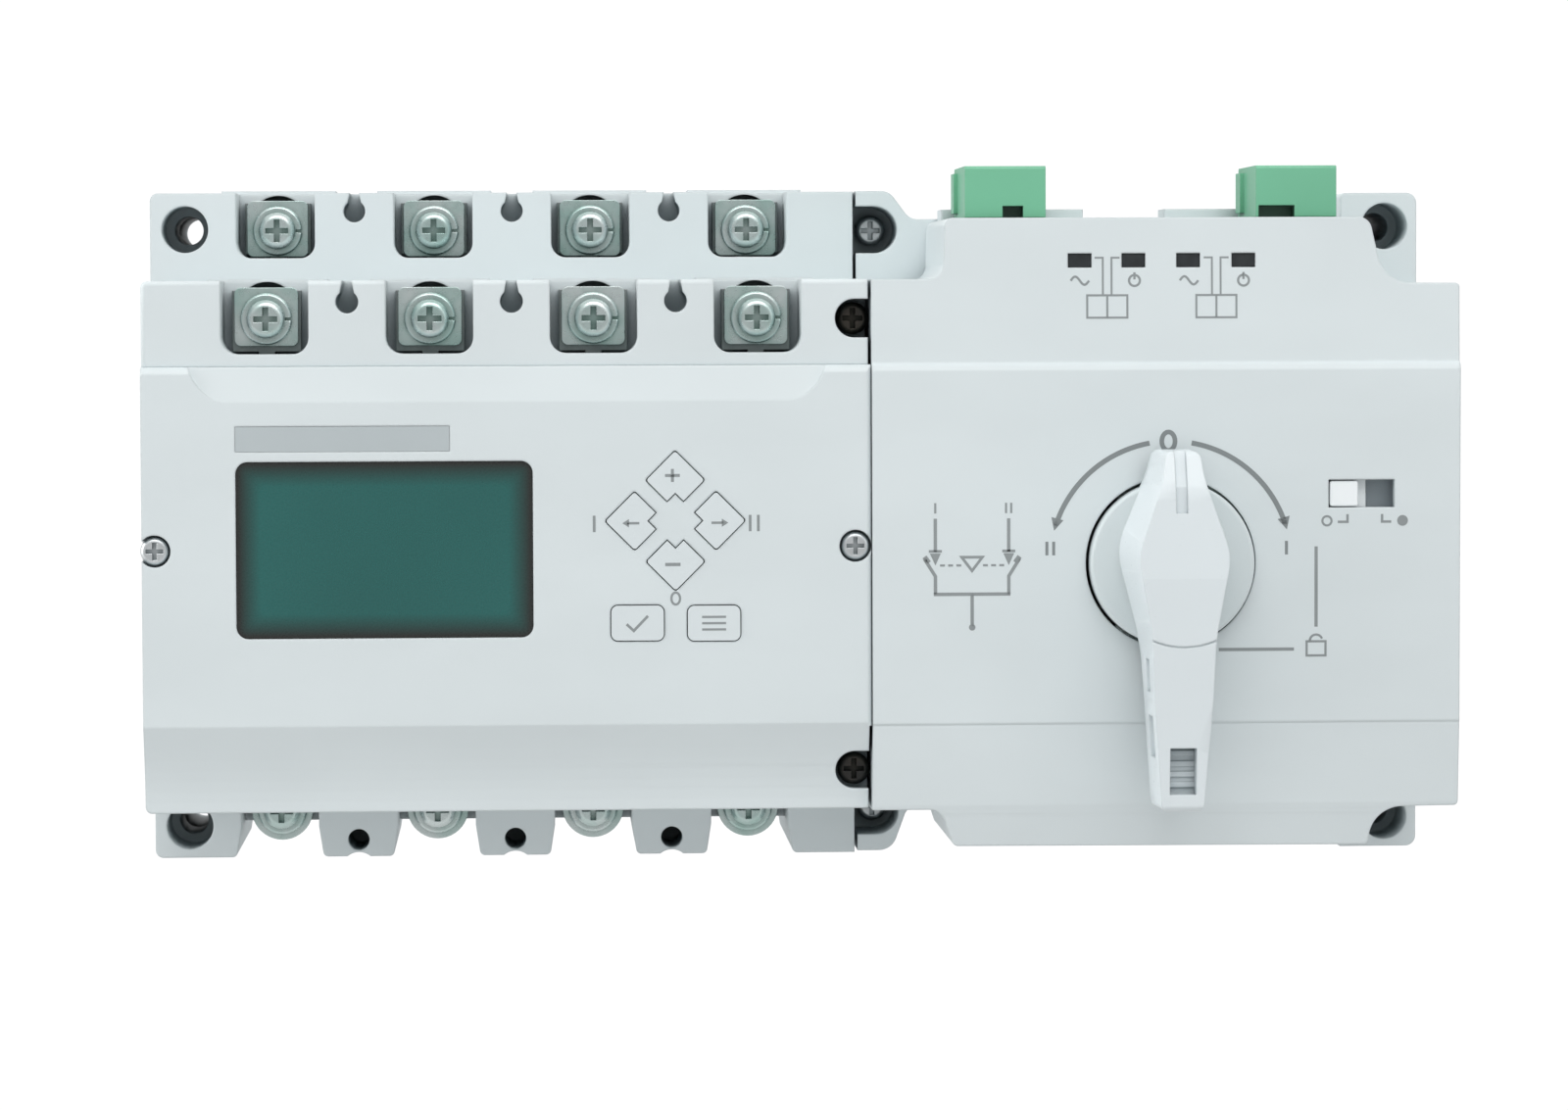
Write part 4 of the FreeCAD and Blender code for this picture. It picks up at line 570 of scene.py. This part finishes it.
def selector_marks():
    """Leader ticks and plain dots under the slide selector's two ends."""
    sheet = Sheet("drive_cover")
    low, high = node_box("selector_knob")
    x0 = low.x + 1.2
    z = high.z - 7.4 + 0.1
    sheet.line([(x0 + 3.2, z), (x0 + 3.2, z - 1.4), (x0 + 1.4, z - 1.4)], 0.45)
    sheet.line([(x0 + 9.6, z), (x0 + 9.6, z - 1.4), (x0 + 11.3, z - 1.4)], 0.45)
    sheet.circle(x0 - 0.6, z - 1.2, 0.85, 0.4, steps=20)
    sheet.disc(x0 + 13.4, z - 1.2, 1.0)
    sheet.finish("selector_marks", "frame")


def lamp_marks():
    """Leader lines from each pair of lamps to a two-cell box, with plain signs beneath the lamps."""
    low, high = node_box("led_lenses")
    sheet = Sheet("drive_cover")
    z = (low.z + high.z) / 2
    left, right = low.x + 2.1, high.x - 2.1
    pitch = (right - left) / 3
    for first in (left, left + 2 * pitch):
        middle = first + pitch / 2
        for side in (-1, 1):
            sheet.line([(middle + side * 2.3, z + 0.5), (middle + side * 0.8, z + 0.5),
                        (middle + side * 0.8, z - 6.4)], 0.35)
        sheet.line([(middle - 3.7, z - 10.5), (middle + 3.7, z - 10.5), (middle + 3.7, z - 6.4),
                    (middle - 3.7, z - 6.4)], 0.38, True)
        sheet.line([(middle, z - 10.5), (middle, z - 6.4)], 0.38)
        wave = []
        for i in range(17):
            wave.append((first - 1.7 + 3.4 * i / 16, z - 3.7 + 0.75 * math.sin(2 * math.pi * i / 16)))
        sheet.line(wave, 0.42)
        sheet.circle(first + pitch, z - 3.7, 1.0, 0.42, steps=24)
        sheet.line([(first + pitch, z - 3.5), (first + pitch, z - 2.2)], 0.42)
    sheet.finish("lamp_marks", "frame")


def panel_marks():
    """Position marks round the keys."""
    sheet = Sheet("controller_cover")
    up = node_box("key_up")
    left = node_box("key_left")
    right = node_box("key_right")
    down = node_box("key_down")
    middle_x = (up[0].x + up[1].x) / 2
    middle_z = (left[0].z + left[1].z) / 2
    sheet.bars(left[0].x - 2.3, middle_z - 0.5, 3.0, 0.5, 1)
    sheet.bars(right[1].x + 1.9, middle_z - 0.5, 3.0, 0.5, 2)
    sheet.zero(middle_x, down[0].z - 1.7, 2.2, 0.42)
    sheet.finish("panel_marks", "frame")


def key_legends():
    """Plus, minus, arrows, a tick and a list on the caps."""
    def cap(name):
        low, high = node_box(name)
        return Sheet(name, 0.02), (low.x + high.x) / 2, (low.z + high.z) / 2

    sheet, x, z = cap("key_up")
    x -= 0.5
    sheet.line([(x - 1.35, z + 0.2), (x + 1.35, z + 0.2)], 0.55)
    sheet.line([(x, z - 1.0), (x, z + 1.4)], 0.55)
    sheet.finish("legend_up", "cap_up")
    sheet, x, z = cap("key_down")
    x -= 0.5
    sheet.line([(x - 1.4, z + 0.1), (x + 1.4, z + 0.1)], 0.6)
    sheet.finish("legend_down", "cap_down")
    for name, side in (("left", -1), ("right", 1)):
        sheet, x, z = cap("key_" + name)
        z -= 0.4
        sheet.line([(x - side * 1.5, z), (x + side * 0.7, z)], 0.45)
        arrow_head(sheet, x + side * 1.6, z, 0 if side > 0 else 180, 1.2, 0.75)
        sheet.finish("legend_" + name, "cap_" + name)
    sheet, x, z = cap("key_set")
    sheet.line([(x - 2.0, z - 0.2), (x - 0.7, z - 1.4), (x + 1.9, z + 1.3)], 0.5)
    sheet.finish("legend_set", "cap_set")
    sheet, x, z = cap("key_mode")
    for i in (-1, 0, 1):
        sheet.line([(x - 2.2, z + 1.15 * i), (x + 2.2, z + 1.15 * i)], 0.42)
    sheet.finish("legend_mode", "cap_mode")


# ---- stage, light, camera ----
def stage():
    """Pale floor that reads white, in a studio that is bright above and dim in front and below."""
    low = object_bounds()[0]
    bpy.ops.mesh.primitive_plane_add(size=FLOOR_SIZE, location=(0, 0, low.z - FLOOR_DROP))
    floor = bpy.context.object
    floor.name = "floor"
    material, tree, shader = new_material("pale_floor")
    shader.inputs["Base Color"].default_value = (0.6, 0.6, 0.6, 1)
    shader.inputs["Roughness"].default_value = 0.9
    seen = add_node(tree, "ShaderNodeLightPath")
    white = add_node(tree, "ShaderNodeEmission", Strength=WHITE_SEEN)
    either = add_node(tree, "ShaderNodeMixShader")
    tree.links.new(seen.outputs["Is Camera Ray"], either.inputs[0])
    tree.links.new(shader.outputs[0], either.inputs[1])
    tree.links.new(white.outputs[0], either.inputs[2])
    tree.links.new(either.outputs[0], tree.nodes["Material Output"].inputs["Surface"])
    floor.data.materials.append(material)
    floor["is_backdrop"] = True

    world = bpy.data.worlds.new("white_surroundings")
    bpy.context.scene.world = world
    world.use_nodes = True
    tree = world.node_tree
    back = tree.nodes["Background"]
    place = add_node(tree, "ShaderNodeTexCoord")
    split = add_node(tree, "ShaderNodeSeparateXYZ")
    tree.links.new(place.outputs["Generated"], split.inputs["Vector"])
    height = add_node(tree, "ShaderNodeMapRange")
    height.inputs["From Min"].default_value = -1.0
    tree.links.new(split.outputs["Z"], height.inputs["Value"])
    room = ramp(tree, height.outputs["Result"], (0.36, 0.38, 0.39), (1.0, 1.0, 1.0), (0.42, 0.80))
    tree.links.new(room.outputs["Color"], back.inputs["Color"])
    back.inputs["Strength"].default_value = ROOM_STRENGTH
    white = add_node(tree, "ShaderNodeBackground", Strength=WHITE_SEEN)
    white.inputs["Color"].default_value = (1, 1, 1, 1)
    seen = add_node(tree, "ShaderNodeLightPath")
    either = add_node(tree, "ShaderNodeMixShader")
    tree.links.new(seen.outputs["Is Camera Ray"], either.inputs[0])
    tree.links.new(back.outputs[0], either.inputs[1])
    tree.links.new(white.outputs[0], either.inputs[2])
    tree.links.new(either.outputs[0], tree.nodes["World Output"].inputs["Surface"])


def area_light(name, location, target, size, watts, colour=(1, 1, 1)):
    data = bpy.data.lights.new(name, "AREA")
    data.shape = "RECTANGLE"
    data.size, data.size_y = size
    data.energy = watts
    data.color = colour
    obj = bpy.data.objects.new(name, data)
    bpy.context.scene.collection.objects.link(obj)
    obj.location = location
    obj.rotation_euler = (Vector(target) - Vector(location)).to_track_quat("-Z", "Y").to_euler()
    return obj


def lights():
    area_light("soft_top", (0.05, -0.75, 0.80), (0, -0.05, 0), (1.0, 0.6), 4.5)
    area_light("soft_right", (0.95, -0.70, 0.30), (0.03, -0.07, 0), (0.5, 0.8), 1.0)
    area_light("soft_left", (-1.3, -0.28, 0.30), (0.0, -0.08, 0), (0.7, 1.0), 8.0)


def camera():
    """Long lens, a little to the left of the middle and slightly above, turned to the right."""
    data = bpy.data.cameras.new("camera")
    obj = bpy.data.objects.new("camera", data)
    bpy.context.scene.collection.objects.link(obj)
    bpy.context.scene.camera = obj
    data.sensor_fit = "HORIZONTAL"
    data.sensor_width = 36.0
    data.lens = 119.4
    data.clip_start = 0.01
    data.clip_end = 100.0
    obj.location = (-0.0492, -1.0466, 0.0401)
    yaw, pitch, roll = math.radians(2.77), math.radians(2.63), math.radians(-0.22)
    facing = Matrix.Rotation(-yaw, 4, "Z") @ Matrix.Rotation(math.radians(90) - pitch, 4, "X")
    obj.matrix_world = Matrix.Translation(obj.location) @ facing @ Matrix.Rotation(roll, 4, "Z")


dress_nodes()
dial_marks()
circuit_marks()
padlock_marks()
selector_marks()
lamp_marks()
panel_marks()
key_legends()
stage()
lights()
camera()
bpy.context.scene.view_settings.view_transform = "Standard"
